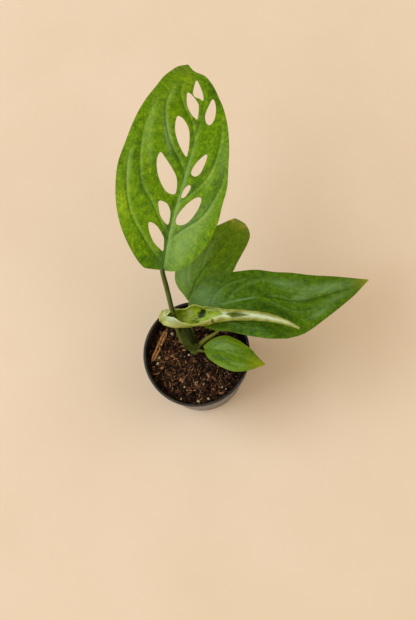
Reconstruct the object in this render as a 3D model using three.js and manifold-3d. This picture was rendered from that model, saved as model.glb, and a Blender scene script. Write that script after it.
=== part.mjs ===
// A young Monstera obliqua in a nine centimetre nursery pot.
// Millimetres, +Z up. The origin is the middle of the pot's underside. +Y is the way the large leaf points.
import * as THREE from "three";
import { mergeVertices } from "three/addons/utils/BufferGeometryUtils.js";
import Module from "manifold-3d";

const wasm = await Module();
wasm.setup();

// Pot
const POT_HEIGHT = 75;
const RIM_RADIUS = 45;
const WALL_TOP_RADIUS = 43.5;
const BASE_RADIUS = 38;
const POT_WALL = 1.1;
const RIM_DEPTH = 6;
const POT_FLOOR = 2.4;
const POT_SIDES = 64;
const FOOT_RADIUS = 12;
const FOOT_RING_RADIUS = 29;
const CHANNEL_DEPTH = 1.2;
const DRAIN_HOLES = 8;
const DRAIN_RADIUS = 3;
const ROUND_SIDES = 24;

// Clearances: between any two pieces, besides that at a stalk's ends, and round the large stalk in the new leaf
const GAP = 0.3;
const END_SLACK = 0.1;
const PASSAGE_GAP = 0.5;

// Soil
const SOIL_TOP = 66;
const SOIL_SIDES = 44;
const SOIL_RELIEF = 0.8;
const SOIL_EDGE_DROP = 1.5;
const SOIL_RING_PARTS = [0.95, 0.86, 0.75, 0.63, 0.51, 0.39, 0.26, 0.13];
const LUMP_COUNT = 42;
const LUMP_SIZE = [1.2, 3.4];
const BARK_STRIP = { length: 25, width: 3.2, depth: 2.6, x: -29.2, y: 21.2, angle: 0.9 };

// Stem, rooted in the soil; every stalk grows from its top
const STEM_AXIS = [-0.8, 5];
const STEM_RADIUS = 4.4;
const STEM_BOTTOM = 44;
const STEM_TOP = 72;

// Stalks: centre line from inside the stem to the blade, radii along it, and where the stem's own stub ends
const STALK_SIDES = 12;
const STUB_STEPS = 4;
const STALKS = {
  large: {
    line: [
      [-1.6, 4.6, 67.5], [-5.4, 7.4, 73.5], [-8.8, 13.6, 82], [-10, 20.1, 93], [-10.6, 26.9, 104],
      [-10.6, 34.8, 113], [-10.4, 46.4, 124], [-10.5, 57.2, 133.5],
    ],
    radii: [2.9, 2.9, 2.6, 2.3, 2.1, 2, 2, 2],
    stub: 0.25,
    steps: 20,
    grooveDepth: 0.3,
  },
  back: {
    line: [
      [-0.6, 6.4, 68.5], [0.2, 13, 72], [1, 24, 76.5], [2.2, 34, 80.5], [4.4, 43, 81], [4.7, 44.4, 83.2],
    ],
    radii: [1.9, 1.7, 1.3, 1.2, 1.2, 1.2],
    stub: 0.2,
    steps: 12,
    grooveDepth: 0,
  },
  right: {
    line: [
      [0.4, 5.4, 68.5], [5.8, 7.8, 74.5], [11.2, 9, 80.6], [22.6, 11.4, 88.6], [27, 17, 91],
      [24.4, 25, 91.2], [18.6, 29.6, 91.8], [17.4, 29.9, 93.9],
    ],
    radii: [2.4, 2.2, 1.6, 1.3, 1.3, 1.3, 1.3, 1.3],
    stub: 0.14,
    steps: 12,
    grooveDepth: 0.3,
  },
  small: {
    line: [[0.2, 4.2, 69], [4, 2, 71.6], [7.6, 0.7, 72], [8.4, 0.3, 73.6]],
    radii: [1.9, 1.5, 1.2, 1.2],
    stub: 0.42,
    steps: 12,
    grooveDepth: 0,
  },
  new: {
    line: [[-0.6, 4.4, 67.5], [-1.2, 7.4, 75], [-1.8, 13.3, 85], [-1.9, 19, 94], [-1.5, 21.2, 99]],
    radii: [3, 3, 2.8, 2.5, 2.3],
    stub: 0.36,
    steps: 12,
    grooveDepth: 0.15,
  },
};

// Blades. A point of a blade is (x across, y along the midrib), in millimetres on the unfolded leaf.
// The midrib is a curve in space, across is the direction of +x at the base and at the tip,
// and the outlines run from the stalk to the tip. Holes lean from the midrib's direction, in degrees.
const BLADE_THICKNESS = 0.8;
const MIDRIB_HEIGHT = 1.1;
const MIDRIB_WIDTH = 2;
const VALLEY_RADIUS = 4;
const TIP_WIDTH = 0.8;
const SPOKE_SPREAD = 1.35;
const COLUMN_SPREAD = 1.15;
const HOLE_SIDES = 14;
const HOLE_POINTEDNESS = 1.2;
const HOLE_CUT_REACH = 4;
const LEAVES = {
  large: {
    midrib: [
      [-9.9, 58.8, 135], [3.9, 88.5, 147], [19.8, 116.2, 155], [35.5, 145.2, 158], [47.5, 169.2, 156],
      [54.1, 190, 151.5], [53.3, 208.3, 146], [49.5, 218.9, 142], [47.9, 228.3, 138],
    ],
    across: [[0.98, -0.45, 0], [0.98, -0.4, 0]],
    left: [
      [-1.5, -0.5], [-9, -1], [-16, 0], [-26.3, 11], [-38.2, 29.5], [-47.2, 50], [-52, 71.5],
      [-52.6, 90], [-50.4, 115], [-43.6, 140.5], [-32.8, 160], [-18.6, 175.6], [-8.8, 186], [0, 192],
    ],
    right: [
      [1.5, -0.5], [9.5, 0.5], [16.5, 4.5], [26.5, 16], [33, 29], [36, 43], [35.7, 57],
      [35.5, 71], [32, 87], [28.5, 103], [23, 120], [16.4, 137.5], [11.5, 150], [8.7, 166], [6.7, 175.6],
      [2.5, 182], [1, 188], [0.6, 191.5],
    ],
    holes: [
      { x: -9, y: 25.7, length: 25, width: 9.5, lean: -32 },
      { x: -7.4, y: 45.2, length: 21, width: 8, lean: -29 },
      { x: -15.1, y: 75.4, length: 37, width: 14, lean: -30 },
      { x: -10.7, y: 108.7, length: 36, width: 11, lean: -23 },
      { x: -8.8, y: 137.2, length: 26, width: 8, lean: -22 },
      { x: -4.4, y: 156.6, length: 23, width: 7.6, lean: 10 },
      { x: 10.3, y: 49, length: 27.5, width: 11, lean: 28 },
      { x: 4.2, y: 63.7, length: 11.5, width: 5.2, lean: 14 },
      { x: 8.5, y: 86.3, length: 20, width: 8.5, lean: 15 },
      { x: 7, y: 134.3, length: 26.5, width: 8.3, lean: -1 },
    ],
    fold: 0.22,
    cup: 0.0022,
    ripple: { height: 1.5, waves: 3.5, shift: 0.4 },
    rows: 26,
    columns: 6,
  },
  back: {
    midrib: [
      [4, 43.1, 86], [16.8, 59.9, 92], [38.7, 76.8, 95], [55, 93.2, 88], [60.6, 104.9, 78], [62.4, 109.7, 68],
    ],
    across: [[0.92, -0.75, 0], [0.92, -0.9, 0]],
    left: [
      [-1, -0.4], [-5.7, 2.4], [-12.3, 6], [-17.5, 12], [-21.4, 25], [-23.7, 37], [-23.2, 48],
      [-20, 58.5], [-14.8, 69.6], [-8.9, 81], [-3.2, 93], [0, 102],
    ],
    right: [
      [1, -0.4], [7.4, 2.6], [16.5, 12.5], [21.4, 26], [20.5, 38], [18.4, 47], [16.8, 58],
      [15.1, 69.5], [13, 79.3], [9, 89], [3.4, 97], [0, 102],
    ],
    holes: [],
    fold: 0.15,
    cup: 0.004,
    ripple: { height: 0.9, waves: 2, shift: 1 },
    rows: 16,
    columns: 4,
  },
  right: {
    midrib: [
      [15.5, 30, 96], [30.4, 29.1, 101], [64.2, 25.8, 106], [91.7, 15.1, 105.5], [130.5, 17.8, 98],
      [153.7, 24.6, 88],
    ],
    across: [[0.16, -1, 0], [0.1, -1, 0]],
    left: [
      [-1, -0.6], [-2.5, -7], [-6, -11.2], [-11.5, -9.6], [-15.7, -3.9], [-19.3, 1.4], [-22.5, 7.5],
      [-24.8, 21], [-24.4, 40], [-25, 64.9], [-25, 81.1], [-17.8, 103.9], [-10, 123.8], [0, 145.9],
    ],
    right: [
      [1, -0.6], [3, -6.5], [8, -9.2], [13.5, -7.2], [19, 0.2], [24.4, 14.1], [31.5, 28.2], [37, 42],
      [37.2, 53.6], [33, 63.2], [21.2, 86.4], [12.1, 109.6], [3.7, 133.5], [0, 145.9],
    ],
    holes: [],
    fold: 0.12,
    cup: 0.001,
    ripple: { height: 1.3, waves: 3, shift: 2.2 },
    rows: 24,
    columns: 5,
  },
  small: {
    midrib: [[7.6, 0.7, 76], [21.1, -5.6, 82.5], [30.5, -12.7, 85], [41.6, -19.5, 84], [53.7, -23.5, 79]],
    across: [[-0.35, -1, 0], [-0.3, -1, 0]],
    left: [
      [-0.8, -0.4], [-2.3, -2.2], [-6.4, 1.4], [-9.7, 6.1], [-12.6, 13.7], [-14.6, 21], [-14.6, 30],
      [-12.5, 36.9], [-10.1, 42.2], [-5.3, 48], [0, 55.2],
    ],
    right: [
      [0.8, -0.4], [2.9, 1], [6.6, 4.6], [9.2, 9.4], [11.9, 15.4], [12.5, 21.8], [11.8, 27.8],
      [10.1, 33.6], [7.2, 40.1], [2.2, 50.4], [0, 55.2],
    ],
    holes: [],
    fold: 0.16,
    cup: 0.004,
    ripple: { height: 0.7, waves: 1.5, shift: 0 },
    rows: 14,
    columns: 4,
  },
};

// The new leaf is still rolled up. Its roll has a centre line, a radius along it, and angles of its two
// edges in degrees round it: 0 is the underside, positive the far side and 180 the top.
const ROLL_THICKNESS = 0.8;
const ROLL_COLUMNS = 16;
const ROLL_ROWS = 26;
const ROLL_LEAST_RADIUS = 0.5;
const NEW_LEAF = {
  line: [
    [-22.4, 31, 104], [-20.6, 30.2, 103.8], [-16.9, 28.8, 103.6], [-10.1, 25.9, 104], [-1.3, 23.5, 105],
    [6.9, 22.2, 106.5], [14.9, 20.5, 108], [23, 19.1, 109.5], [30.9, 17.1, 111.5], [41.7, 13.6, 114],
    [53.1, 9.9, 116], [64.1, 5, 117.5], [74.8, -1.2, 118.5], [84.6, -8.7, 118],
  ],
  radii: [2.2, 4.6, 6.3, 7.6, 7.1, 7.2, 6.8, 5.6, 4.6, 3.9, 3.5, 2.9, 1.9, 0.7],
  nearEdge: [-165, -170, -174, -172, -150, -146, -168, -172, -172, -172, -172, -172, -172, -172],
  farEdge: [165, 140, 120, 108, 108, 116, 118, 128, 150, 168, 172, 172, 172, 172],
  flare: [0, 0, 0.05, 0.12, 0.16, 0.42, 0.2, 0.1, 0, 0, 0, 0, 0, 0],
};

// Colours
const MATERIALS = {
  pot: new THREE.MeshStandardMaterial({ color: 0x222325, roughness: 0.4, metalness: 0 }),
  soil: new THREE.MeshStandardMaterial({ color: 0x3f2b20, roughness: 0.95, metalness: 0 }),
  stem: new THREE.MeshStandardMaterial({ color: 0x4d6426, roughness: 0.5, metalness: 0 }),
  blade: new THREE.MeshStandardMaterial({ color: 0x477a16, roughness: 0.4, metalness: 0 }),
  darkBlade: new THREE.MeshStandardMaterial({ color: 0x34601a, roughness: 0.35, metalness: 0 }),
  newBlade: new THREE.MeshStandardMaterial({ color: 0xb6c987, roughness: 0.45, metalness: 0 }),
};

const vector = (point) => new THREE.Vector3(...point);

// A smooth curve through points in space.
function curveThrough(points) {
  return new THREE.CatmullRomCurve3(points.map(vector), false, "catmullrom", 0.5);
}

// The fraction of a curve's listed points that lies a short distance past another fraction.
function fractionPast(curve, from, distance) {
  const step = 0.001;
  const speed = curve.getPoint(from + step).distanceTo(curve.getPoint(from)) / step;
  return from + distance / speed;
}

// A smooth run of single values, read from 0 to 1.
function valueAlong(values, u) {
  const place = Math.min(Math.max(u, 0), 1) * (values.length - 1);
  const first = Math.min(Math.floor(place), values.length - 2);
  const part = place - first;
  const ease = part * part * (3 - 2 * part);
  return values[first] * (1 - ease) + values[first + 1] * ease;
}

// A repeatable stream of numbers from 0 to 1.
function seededRandom(seed) {
  let state = seed;
  return () => {
    state = (state + 0x6d2b79f5) | 0;
    let mixed = Math.imul(state ^ (state >>> 15), 1 | state);
    mixed = (mixed + Math.imul(mixed ^ (mixed >>> 7), 61 | mixed)) ^ mixed;
    return ((mixed ^ (mixed >>> 14)) >>> 0) / 4294967296;
  };
}

// A closed body as a solid that can be joined and cut.
function solidOf(geometry) {
  const bare = geometry.clone();
  bare.deleteAttribute("normal");
  bare.deleteAttribute("uv");
  const merged = mergeVertices(bare, 1e-4);
  const vertProperties = merged.attributes.position.array;
  const triVerts = new Uint32Array(merged.index.array);
  return new wasm.Manifold(new wasm.Mesh({ numProp: 3, vertProperties, triVerts }));
}

function geometryOf(solid) {
  const { vertProperties, triVerts } = solid.getMesh();
  const geometry = new THREE.BufferGeometry();
  geometry.setAttribute("position", new THREE.BufferAttribute(vertProperties, 3));
  geometry.setIndex(new THREE.BufferAttribute(triVerts, 1));
  return geometry;
}

function geometryFrom(points, index) {
  const geometry = new THREE.BufferGeometry();
  geometry.setFromPoints(points);
  geometry.setIndex(index);
  return geometry;
}

// A closed body from rings of points, each ring turning the same way round the direction of travel.
function loft(rings) {
  const sides = rings[0].length;
  const points = rings.flat();
  const index = [];
  for (let ring = 0; ring < rings.length - 1; ring += 1) {
    for (let side = 0; side < sides; side += 1) {
      const next = (side + 1) % sides;
      const a = ring * sides + side;
      const b = ring * sides + next;
      index.push(a, b, b + sides, a, b + sides, a + sides);
    }
  }
  const middles = [rings[0], rings.at(-1)].map((ring) => {
    const sum = ring.reduce((total, point) => total.add(point), new THREE.Vector3());
    return sum.divideScalar(sides);
  });
  const startMiddle = points.length;
  const endMiddle = startMiddle + 1;
  const lastRing = (rings.length - 1) * sides;
  for (let side = 0; side < sides; side += 1) {
    const next = (side + 1) % sides;
    index.push(startMiddle, next, side);
    index.push(endMiddle, lastRing + side, lastRing + next);
  }
  return geometryFrom([...points, ...middles], index);
}

// A closed sheet between two grids of points. Both faces are split into triangles along the same diagonals.
function sheet(upper, lower) {
  const rows = upper.length;
  const columns = upper[0].length;
  const top = (row, column) => row * columns + column;
  const bottom = (row, column) => rows * columns + top(row, column);
  const index = [];
  for (let row = 0; row < rows - 1; row += 1) {
    for (let column = 0; column < columns - 1; column += 1) {
      const cell = [[row, column], [row, column + 1], [row + 1, column + 1], [row + 1, column]];
      const [a, b, c, d] = cell.map(([r, k]) => top(r, k));
      const [e, f, g, h] = cell.map(([r, k]) => bottom(r, k));
      index.push(a, b, c, a, c, d, e, g, f, e, h, g);
    }
  }
  const wall = (from, to) => {
    const a = bottom(...from);
    const b = bottom(...to);
    const c = top(...to);
    index.push(a, b, c, a, c, top(...from));
  };
  for (let column = 0; column < columns - 1; column += 1) {
    wall([0, column], [0, column + 1]);
    wall([rows - 1, column + 1], [rows - 1, column]);
  }
  for (let row = 0; row < rows - 1; row += 1) {
    wall([row, columns - 1], [row + 1, columns - 1]);
    wall([row + 1, 0], [row, 0]);
  }
  return geometryFrom([...upper.flat(), ...lower.flat()], index);
}

// Radius of the pot's outside wall at a height.
function wallRadius(z) {
  return BASE_RADIUS + ((WALL_TOP_RADIUS - BASE_RADIUS) * z) / (POT_HEIGHT - RIM_DEPTH);
}

function potGeometry() {
  const ledge = POT_HEIGHT - RIM_DEPTH;
  const profile = [
    [0, 0],
    [FOOT_RADIUS, 0],
    [FOOT_RADIUS + CHANNEL_DEPTH, CHANNEL_DEPTH],
    [FOOT_RING_RADIUS - CHANNEL_DEPTH, CHANNEL_DEPTH],
    [FOOT_RING_RADIUS, 0],
    [BASE_RADIUS - 1.2, 0],
    [wallRadius(1), 1],
    [WALL_TOP_RADIUS, ledge],
    [RIM_RADIUS - 0.1, ledge],
    [RIM_RADIUS, ledge + 0.6],
    [RIM_RADIUS, POT_HEIGHT - 0.8],
    [RIM_RADIUS - 0.7, POT_HEIGHT],
    [RIM_RADIUS - 2, POT_HEIGHT],
    [WALL_TOP_RADIUS - POT_WALL, ledge],
    [wallRadius(POT_FLOOR) - POT_WALL, POT_FLOOR],
    [0, POT_FLOOR],
  ];
  const shell = new THREE.LatheGeometry(profile.map(([r, z]) => new THREE.Vector2(r, z)), POT_SIDES);
  shell.rotateX(Math.PI / 2);
  let solid = solidOf(shell);
  const holeDistance = (FOOT_RADIUS + FOOT_RING_RADIUS) / 2;
  for (let hole = 0; hole < DRAIN_HOLES; hole += 1) {
    const angle = (hole / DRAIN_HOLES) * 2 * Math.PI;
    const drill = new THREE.CylinderGeometry(DRAIN_RADIUS, DRAIN_RADIUS, 4 * POT_FLOOR, 12);
    drill.rotateX(Math.PI / 2);
    drill.translate(holeDistance * Math.cos(angle), holeDistance * Math.sin(angle), 0);
    solid = solid.subtract(solidOf(drill));
  }
  return geometryOf(solid);
}

// Height of the soil's surface, before the lumps.
function soilHeight(x, y) {
  const waves = Math.sin(0.31 * x + 0.17 * y + 0.6) + Math.sin(0.23 * y - 0.37 * x + 2.1);
  const grain = Math.sin(0.9 * x + 1.3) * Math.sin(0.8 * y + 0.4);
  const edge = (Math.hypot(x, y) / WALL_TOP_RADIUS) ** 4;
  return SOIL_TOP + SOIL_RELIEF * (0.6 * waves + 0.7 * grain) - SOIL_EDGE_DROP * edge;
}

// One ring of points round the pot's axis; height is a number or a function of x and y.
function soilRing(radius, height) {
  return Array.from({ length: SOIL_SIDES }, (_, side) => {
    const angle = (side / SOIL_SIDES) * 2 * Math.PI;
    const x = radius * Math.cos(angle);
    const y = radius * Math.sin(angle);
    return new THREE.Vector3(x, y, typeof height === "number" ? height : height(x, y));
  });
}

function lumpSolid(random) {
  const size = LUMP_SIZE[0] + (LUMP_SIZE[1] - LUMP_SIZE[0]) * random() ** 2;
  const reach = wallRadius(SOIL_TOP) - POT_WALL - size - 1.5;
  const angle = random() * 2 * Math.PI;
  const distance = reach * Math.sqrt(random());
  const x = distance * Math.cos(angle);
  const y = distance * Math.sin(angle);
  const lump = new THREE.IcosahedronGeometry(1, 0);
  lump.rotateX(random() * Math.PI);
  lump.rotateY(random() * Math.PI);
  lump.scale(size * (0.7 + 0.6 * random()), size * (0.5 + 0.4 * random()), size * 0.6);
  lump.rotateZ(random() * Math.PI);
  lump.translate(x, y, soilHeight(x, y));
  const fromStem = Math.hypot(x - STEM_AXIS[0], y - STEM_AXIS[1]);
  return fromStem > STEM_RADIUS + size + 4 ? solidOf(lump) : null;
}

function barkStripSolid() {
  const { length, width, depth, x, y, angle } = BARK_STRIP;
  const strip = new THREE.BoxGeometry(length, width, depth);
  strip.rotateZ(angle);
  strip.translate(x, y, soilHeight(x, y));
  return solidOf(strip);
}

function soilGeometry() {
  const wall = (z) => (wallRadius(z) - POT_WALL) * Math.cos(Math.PI / POT_SIDES) - GAP;
  const floor = POT_FLOOR + GAP;
  const edgeTop = (x, y) => soilHeight(x, y) - 0.6;
  const rings = [
    soilRing(wall(floor) - 1, floor),
    soilRing(wall(floor + 1), floor + 1),
    soilRing(wall(SOIL_TOP - 6), SOIL_TOP - 6),
    soilRing(wall(SOIL_TOP - 3), edgeTop),
  ];
  for (const part of SOIL_RING_PARTS) {
    rings.push(soilRing(wall(SOIL_TOP - 3) * part, soilHeight));
  }
  let solid = solidOf(loft(rings));
  const random = seededRandom(7);
  for (let lump = 0; lump < LUMP_COUNT; lump += 1) {
    const extra = lumpSolid(random);
    if (extra) {
      solid = solid.add(extra);
    }
  }
  solid = solid.add(barkStripSolid());
  const depth = STEM_TOP - STEM_BOTTOM;
  const hole = new THREE.CylinderGeometry(STEM_RADIUS + GAP, STEM_RADIUS + GAP, depth, ROUND_SIDES);
  hole.rotateX(Math.PI / 2);
  hole.translate(STEM_AXIS[0], STEM_AXIS[1], STEM_BOTTOM - GAP + depth / 2);
  return geometryOf(solid.subtract(solidOf(hole)));
}

// Part of a stalk, from one fraction of its centre line to another. A groove runs along its near side.
function stalkPart({ line, radii, grooveDepth }, from, to, steps, extra = 0) {
  const curve = curveThrough(line);
  const rings = [];
  for (let step = 0; step <= steps; step += 1) {
    const u = Math.min(1, from + ((to - from) * step) / steps);
    const centre = curve.getPoint(u);
    const along = curve.getTangent(u);
    const right = new THREE.Vector3(1, 0, 0).addScaledVector(along, -along.x).normalize();
    const front = new THREE.Vector3().crossVectors(along, right);
    const radius = valueAlong(radii, u) + extra;
    const grooveFade = Math.max(0, 1 - 2.2 * u);
    rings.push(Array.from({ length: STALK_SIDES }, (_, side) => {
      const angle = (side / STALK_SIDES) * 2 * Math.PI;
      const groove = extra ? 0 : grooveDepth * grooveFade * Math.exp(-(((angle - 4) / 0.45) ** 2));
      const reach = radius * (1 - groove);
      const point = centre.clone().addScaledVector(right, reach * Math.cos(angle));
      return point.addScaledVector(front, reach * Math.sin(angle));
    }));
  }
  return loft(rings);
}

// The stem's core: a short upright body that narrows at its top, with a low ring where an old stalk fell off.
function stemCore() {
  const [x, y] = STEM_AXIS;
  const profile = [
    [STEM_RADIUS - 0.8, STEM_BOTTOM], [STEM_RADIUS, STEM_BOTTOM + 1], [STEM_RADIUS, SOIL_TOP + 2],
    [STEM_RADIUS - 0.5, SOIL_TOP + 2.6], [STEM_RADIUS - 0.4, STEM_TOP - 1.5], [1.8, STEM_TOP],
  ];
  return loft(profile.map(([radius, z]) => Array.from({ length: ROUND_SIDES }, (_, side) => {
    const angle = (side / ROUND_SIDES) * 2 * Math.PI;
    return new THREE.Vector3(x + radius * Math.cos(angle), y + radius * Math.sin(angle), z);
  })));
}

function stemGeometry() {
  let solid = solidOf(stemCore());
  for (const stalk of Object.values(STALKS)) {
    solid = solid.add(solidOf(stalkPart(stalk, 0, stalk.stub, STUB_STEPS)));
  }
  return geometryOf(solid);
}

// The surface of a blade: where a point (x, y) of the flat leaf lies in space, and the direction up from it.
function bladeSurface({ midrib, across, fold, cup, ripple, left }) {
  const curve = curveThrough(midrib);
  curve.arcLengthDivisions = 400;
  const length = curve.getLength();
  const [baseAcross, tipAcross] = across.map((direction) => vector(direction).normalize());
  const halfWidth = Math.max(...left.map(([x]) => Math.abs(x)));
  const rise = (x, y) => {
    const valley = fold * (Math.hypot(x, VALLEY_RADIUS) - VALLEY_RADIUS) - cup * x * x;
    const side = Math.sign(x) * ripple.shift;
    const wave = Math.sin((2 * Math.PI * ripple.waves * y) / length + side);
    return valley + ripple.height * (x / halfWidth) ** 2 * wave;
  };
  const place = (x, y) => {
    const inside = Math.min(Math.max(y, 0), length);
    const along = curve.getTangentAt(inside / length);
    const point = curve.getPointAt(inside / length).addScaledVector(along, y - inside);
    const sideways = baseAcross.clone().lerp(tipAcross, inside / length).normalize();
    const up = new THREE.Vector3().crossVectors(sideways, along).normalize();
    point.addScaledVector(sideways, x).addScaledVector(up, rise(x, y));
    return { point, up };
  };
  return { length, place };
}

// The points of a blade in rows, each row running from the left margin to the midrib and on to the right margin.
function bladeRows({ left, right, rows, columns }, length) {
  const flatCurve = (side) => curveThrough(side.map(([x, y]) => [x, y, 0]));
  const leftCurve = flatCurve(left);
  const rightCurve = flatCurve(right);
  return Array.from({ length: rows }, (_, row) => {
    const s = row / (rows - 1);
    const middle = length * s ** SPOKE_SPREAD;
    const leftEnd = leftCurve.getPointAt(s);
    const rightEnd = rightCurve.getPointAt(s);
    leftEnd.x -= TIP_WIDTH / 2;
    rightEnd.x += TIP_WIDTH / 2;
    return Array.from({ length: 2 * columns + 1 }, (_, column) => {
      const part = column / columns - 1;
      const end = part < 0 ? leftEnd : rightEnd;
      const reach = Math.abs(part) ** COLUMN_SPREAD;
      return [end.x * reach, middle + (end.y - middle) * reach];
    });
  });
}

// A prism through the blade, standing on the outline of one hole.
function holeSolid(surface, { x, y, length, width, lean }) {
  const axis = THREE.MathUtils.degToRad(lean);
  const outline = Array.from({ length: HOLE_SIDES }, (_, side) => {
    const angle = (side / HOLE_SIDES) * 2 * Math.PI;
    const along = (length / 2) * Math.cos(angle);
    const sine = Math.sin(angle);
    const aside = -(width / 2) * Math.sign(sine) * Math.abs(sine) ** HOLE_POINTEDNESS;
    return [
      x + along * Math.sin(axis) + aside * Math.cos(axis),
      y + along * Math.cos(axis) - aside * Math.sin(axis),
    ];
  });
  const ringAt = (height) => outline.map(([px, py]) => {
    const { point, up } = surface.place(px, py);
    return point.addScaledVector(up, height);
  });
  return solidOf(loft([ringAt(-HOLE_CUT_REACH), ringAt(HOLE_CUT_REACH)]));
}

function bladeGeometry(leaf) {
  const surface = bladeSurface(leaf);
  const rows = bladeRows(leaf, surface.length);
  const placed = rows.map((row) => row.map(([x, y]) => surface.place(x, y)));
  const upper = placed.map((row) => row.map(({ point }) => point));
  const lower = placed.map((row, r) => row.map(({ point, up }, c) => {
    const [x, y] = rows[r][c];
    const taper = Math.max(0, 1 - y / surface.length);
    const rib = MIDRIB_HEIGHT * taper * Math.exp(-((x / MIDRIB_WIDTH) ** 2));
    return point.clone().addScaledVector(up, -BLADE_THICKNESS - rib);
  }));
  let solid = solidOf(sheet(upper, lower));
  for (const hole of leaf.holes) {
    solid = solid.subtract(holeSolid(surface, hole));
  }
  return geometryOf(solid);
}

// The frame of the new leaf's roll at a fraction of its centre line.
function rollFrame(curve, u) {
  const along = curve.getTangent(u);
  const up = new THREE.Vector3(0, 0, 1).addScaledVector(along, -along.z).normalize();
  const far = new THREE.Vector3().crossVectors(up, along);
  return { centre: curve.getPoint(u), up, far };
}

// The new leaf's roll as a whole, without its hollow, grown by a clearance.
function rollEnvelope(clearance) {
  const curve = curveThrough(NEW_LEAF.line);
  const rings = [];
  for (let row = 0; row <= ROLL_ROWS; row += 1) {
    const u = row / ROLL_ROWS;
    const { centre, up, far } = rollFrame(curve, u);
    const radius = valueAlong(NEW_LEAF.radii, u) + ROLL_THICKNESS / 2 + clearance;
    rings.push(Array.from({ length: ROUND_SIDES }, (_, side) => {
      const angle = (side / ROUND_SIDES) * 2 * Math.PI;
      const point = centre.clone().addScaledVector(far, radius * Math.cos(angle));
      return point.addScaledVector(up, radius * Math.sin(angle));
    }));
  }
  return loft(rings);
}

function newLeafGeometry() {
  const curve = curveThrough(NEW_LEAF.line);
  const grids = { outer: [], inner: [] };
  for (let row = 0; row <= ROLL_ROWS; row += 1) {
    const u = row / ROLL_ROWS;
    const { centre, up, far } = rollFrame(curve, u);
    const middle = Math.max(valueAlong(NEW_LEAF.radii, u), ROLL_LEAST_RADIUS);
    const half = Math.min(ROLL_THICKNESS / 2, 0.7 * middle);
    const near = valueAlong(NEW_LEAF.nearEdge, u);
    const beyond = valueAlong(NEW_LEAF.farEdge, u);
    const flare = valueAlong(NEW_LEAF.flare, u);
    const ring = (offset) => Array.from({ length: ROLL_COLUMNS + 1 }, (_, column) => {
      const degrees = near + ((beyond - near) * column) / ROLL_COLUMNS;
      const angle = THREE.MathUtils.degToRad(degrees);
      const opened = degrees > 0 ? 1 + flare * (degrees / beyond) ** 3 : 1;
      const radius = middle * opened + offset;
      const point = centre.clone().addScaledVector(far, radius * Math.sin(angle));
      return point.addScaledVector(up, -radius * Math.cos(angle));
    });
    grids.outer.push(ring(half));
    grids.inner.push(ring(-half));
  }
  const { large } = STALKS;
  const passage = stalkPart(large, large.stub, 0.8, large.steps, PASSAGE_GAP);
  return geometryOf(solidOf(sheet(grids.outer, grids.inner)).subtract(solidOf(passage)));
}

function stalkGeometry(name) {
  const stalk = STALKS[name];
  const start = fractionPast(curveThrough(stalk.line), stalk.stub, GAP + END_SLACK);
  const geometry = stalkPart(stalk, start, 1, stalk.steps);
  if (name !== "new") {
    return geometry;
  }
  return geometryOf(solidOf(geometry).subtract(solidOf(rollEnvelope(GAP + END_SLACK))));
}

function mesh(name, geometry, material) {
  const made = new THREE.Mesh(geometry, MATERIALS[material]);
  made.name = name;
  return made;
}

const plant = new THREE.Group();
plant.add(mesh("stem", stemGeometry(), "stem"));
for (const name of Object.keys(STALKS)) {
  plant.add(mesh(`stalk_${name}`, stalkGeometry(name), "stem"));
}
for (const [name, leaf] of Object.entries(LEAVES)) {
  const material = name === "right" || name === "back" ? "darkBlade" : "blade";
  plant.add(mesh(`leaf_${name}`, bladeGeometry(leaf), material));
}
plant.add(mesh("leaf_new", newLeafGeometry(), "newBlade"));

const potted = new THREE.Group();
potted.add(mesh("pot", potGeometry(), "pot"));
potted.add(mesh("soil", soilGeometry(), "soil"));
potted.add(plant);

export default potted;
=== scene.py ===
"""A young Monstera obliqua in a nursery pot, dressed for the photograph.

Lengths are in millimetres, and become metres when a mesh or a lamp is made.
The large leaf points along +Y.
"""
import math
import random

import bmesh
import bpy
import numpy as np
from mathutils import Matrix, Vector, noise
from mathutils.geometry import delaunay_2d_cdt


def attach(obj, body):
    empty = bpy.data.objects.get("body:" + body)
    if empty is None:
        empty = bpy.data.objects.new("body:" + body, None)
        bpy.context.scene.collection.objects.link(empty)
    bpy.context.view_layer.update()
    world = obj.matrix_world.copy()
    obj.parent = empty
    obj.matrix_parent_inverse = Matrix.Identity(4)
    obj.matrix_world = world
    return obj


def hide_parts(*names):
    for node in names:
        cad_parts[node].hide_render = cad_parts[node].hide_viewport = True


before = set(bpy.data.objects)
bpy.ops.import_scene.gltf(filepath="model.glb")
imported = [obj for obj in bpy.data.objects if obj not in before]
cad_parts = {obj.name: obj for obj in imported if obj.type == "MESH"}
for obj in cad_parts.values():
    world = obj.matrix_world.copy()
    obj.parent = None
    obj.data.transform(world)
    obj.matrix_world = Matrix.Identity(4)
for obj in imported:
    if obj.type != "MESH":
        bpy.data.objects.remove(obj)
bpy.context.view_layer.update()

MM = 0.001
SEED = 11
CREASE_ANGLE = 45
FLAT_MAP = "leaf"

# Camera: a 50 mm lens on a 36 mm sensor, above the pot's front and looking down
CAMERA_PLACE = (17.7, -152.6, 782.0)
CAMERA_RIGHT = (0.97367, -0.22041, -0.05824)
CAMERA_UP = (0.22798, 0.94136, 0.24872)
CAMERA_LENS = 50
CAMERA_SENSOR = 36

# Pot, as packed
POT_HEIGHT = 75
RIM_RADIUS = 45
WALL_TOP_RADIUS = 43.5
BASE_RADIUS = 38
POT_WALL = 1.1
RIM_WALL = 2
POT_CORNER = 0.7
RIM_DEPTH = 6
POT_FLOOR = 2.4
FOOT_RADIUS = 12
FOOT_RING_RADIUS = 29
CHANNEL_DEPTH = 1.2
DRAIN_HOLES = 8
DRAIN_RADIUS = 3
POT_SIDES = 192
DRAIN_SIDES = 32

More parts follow.
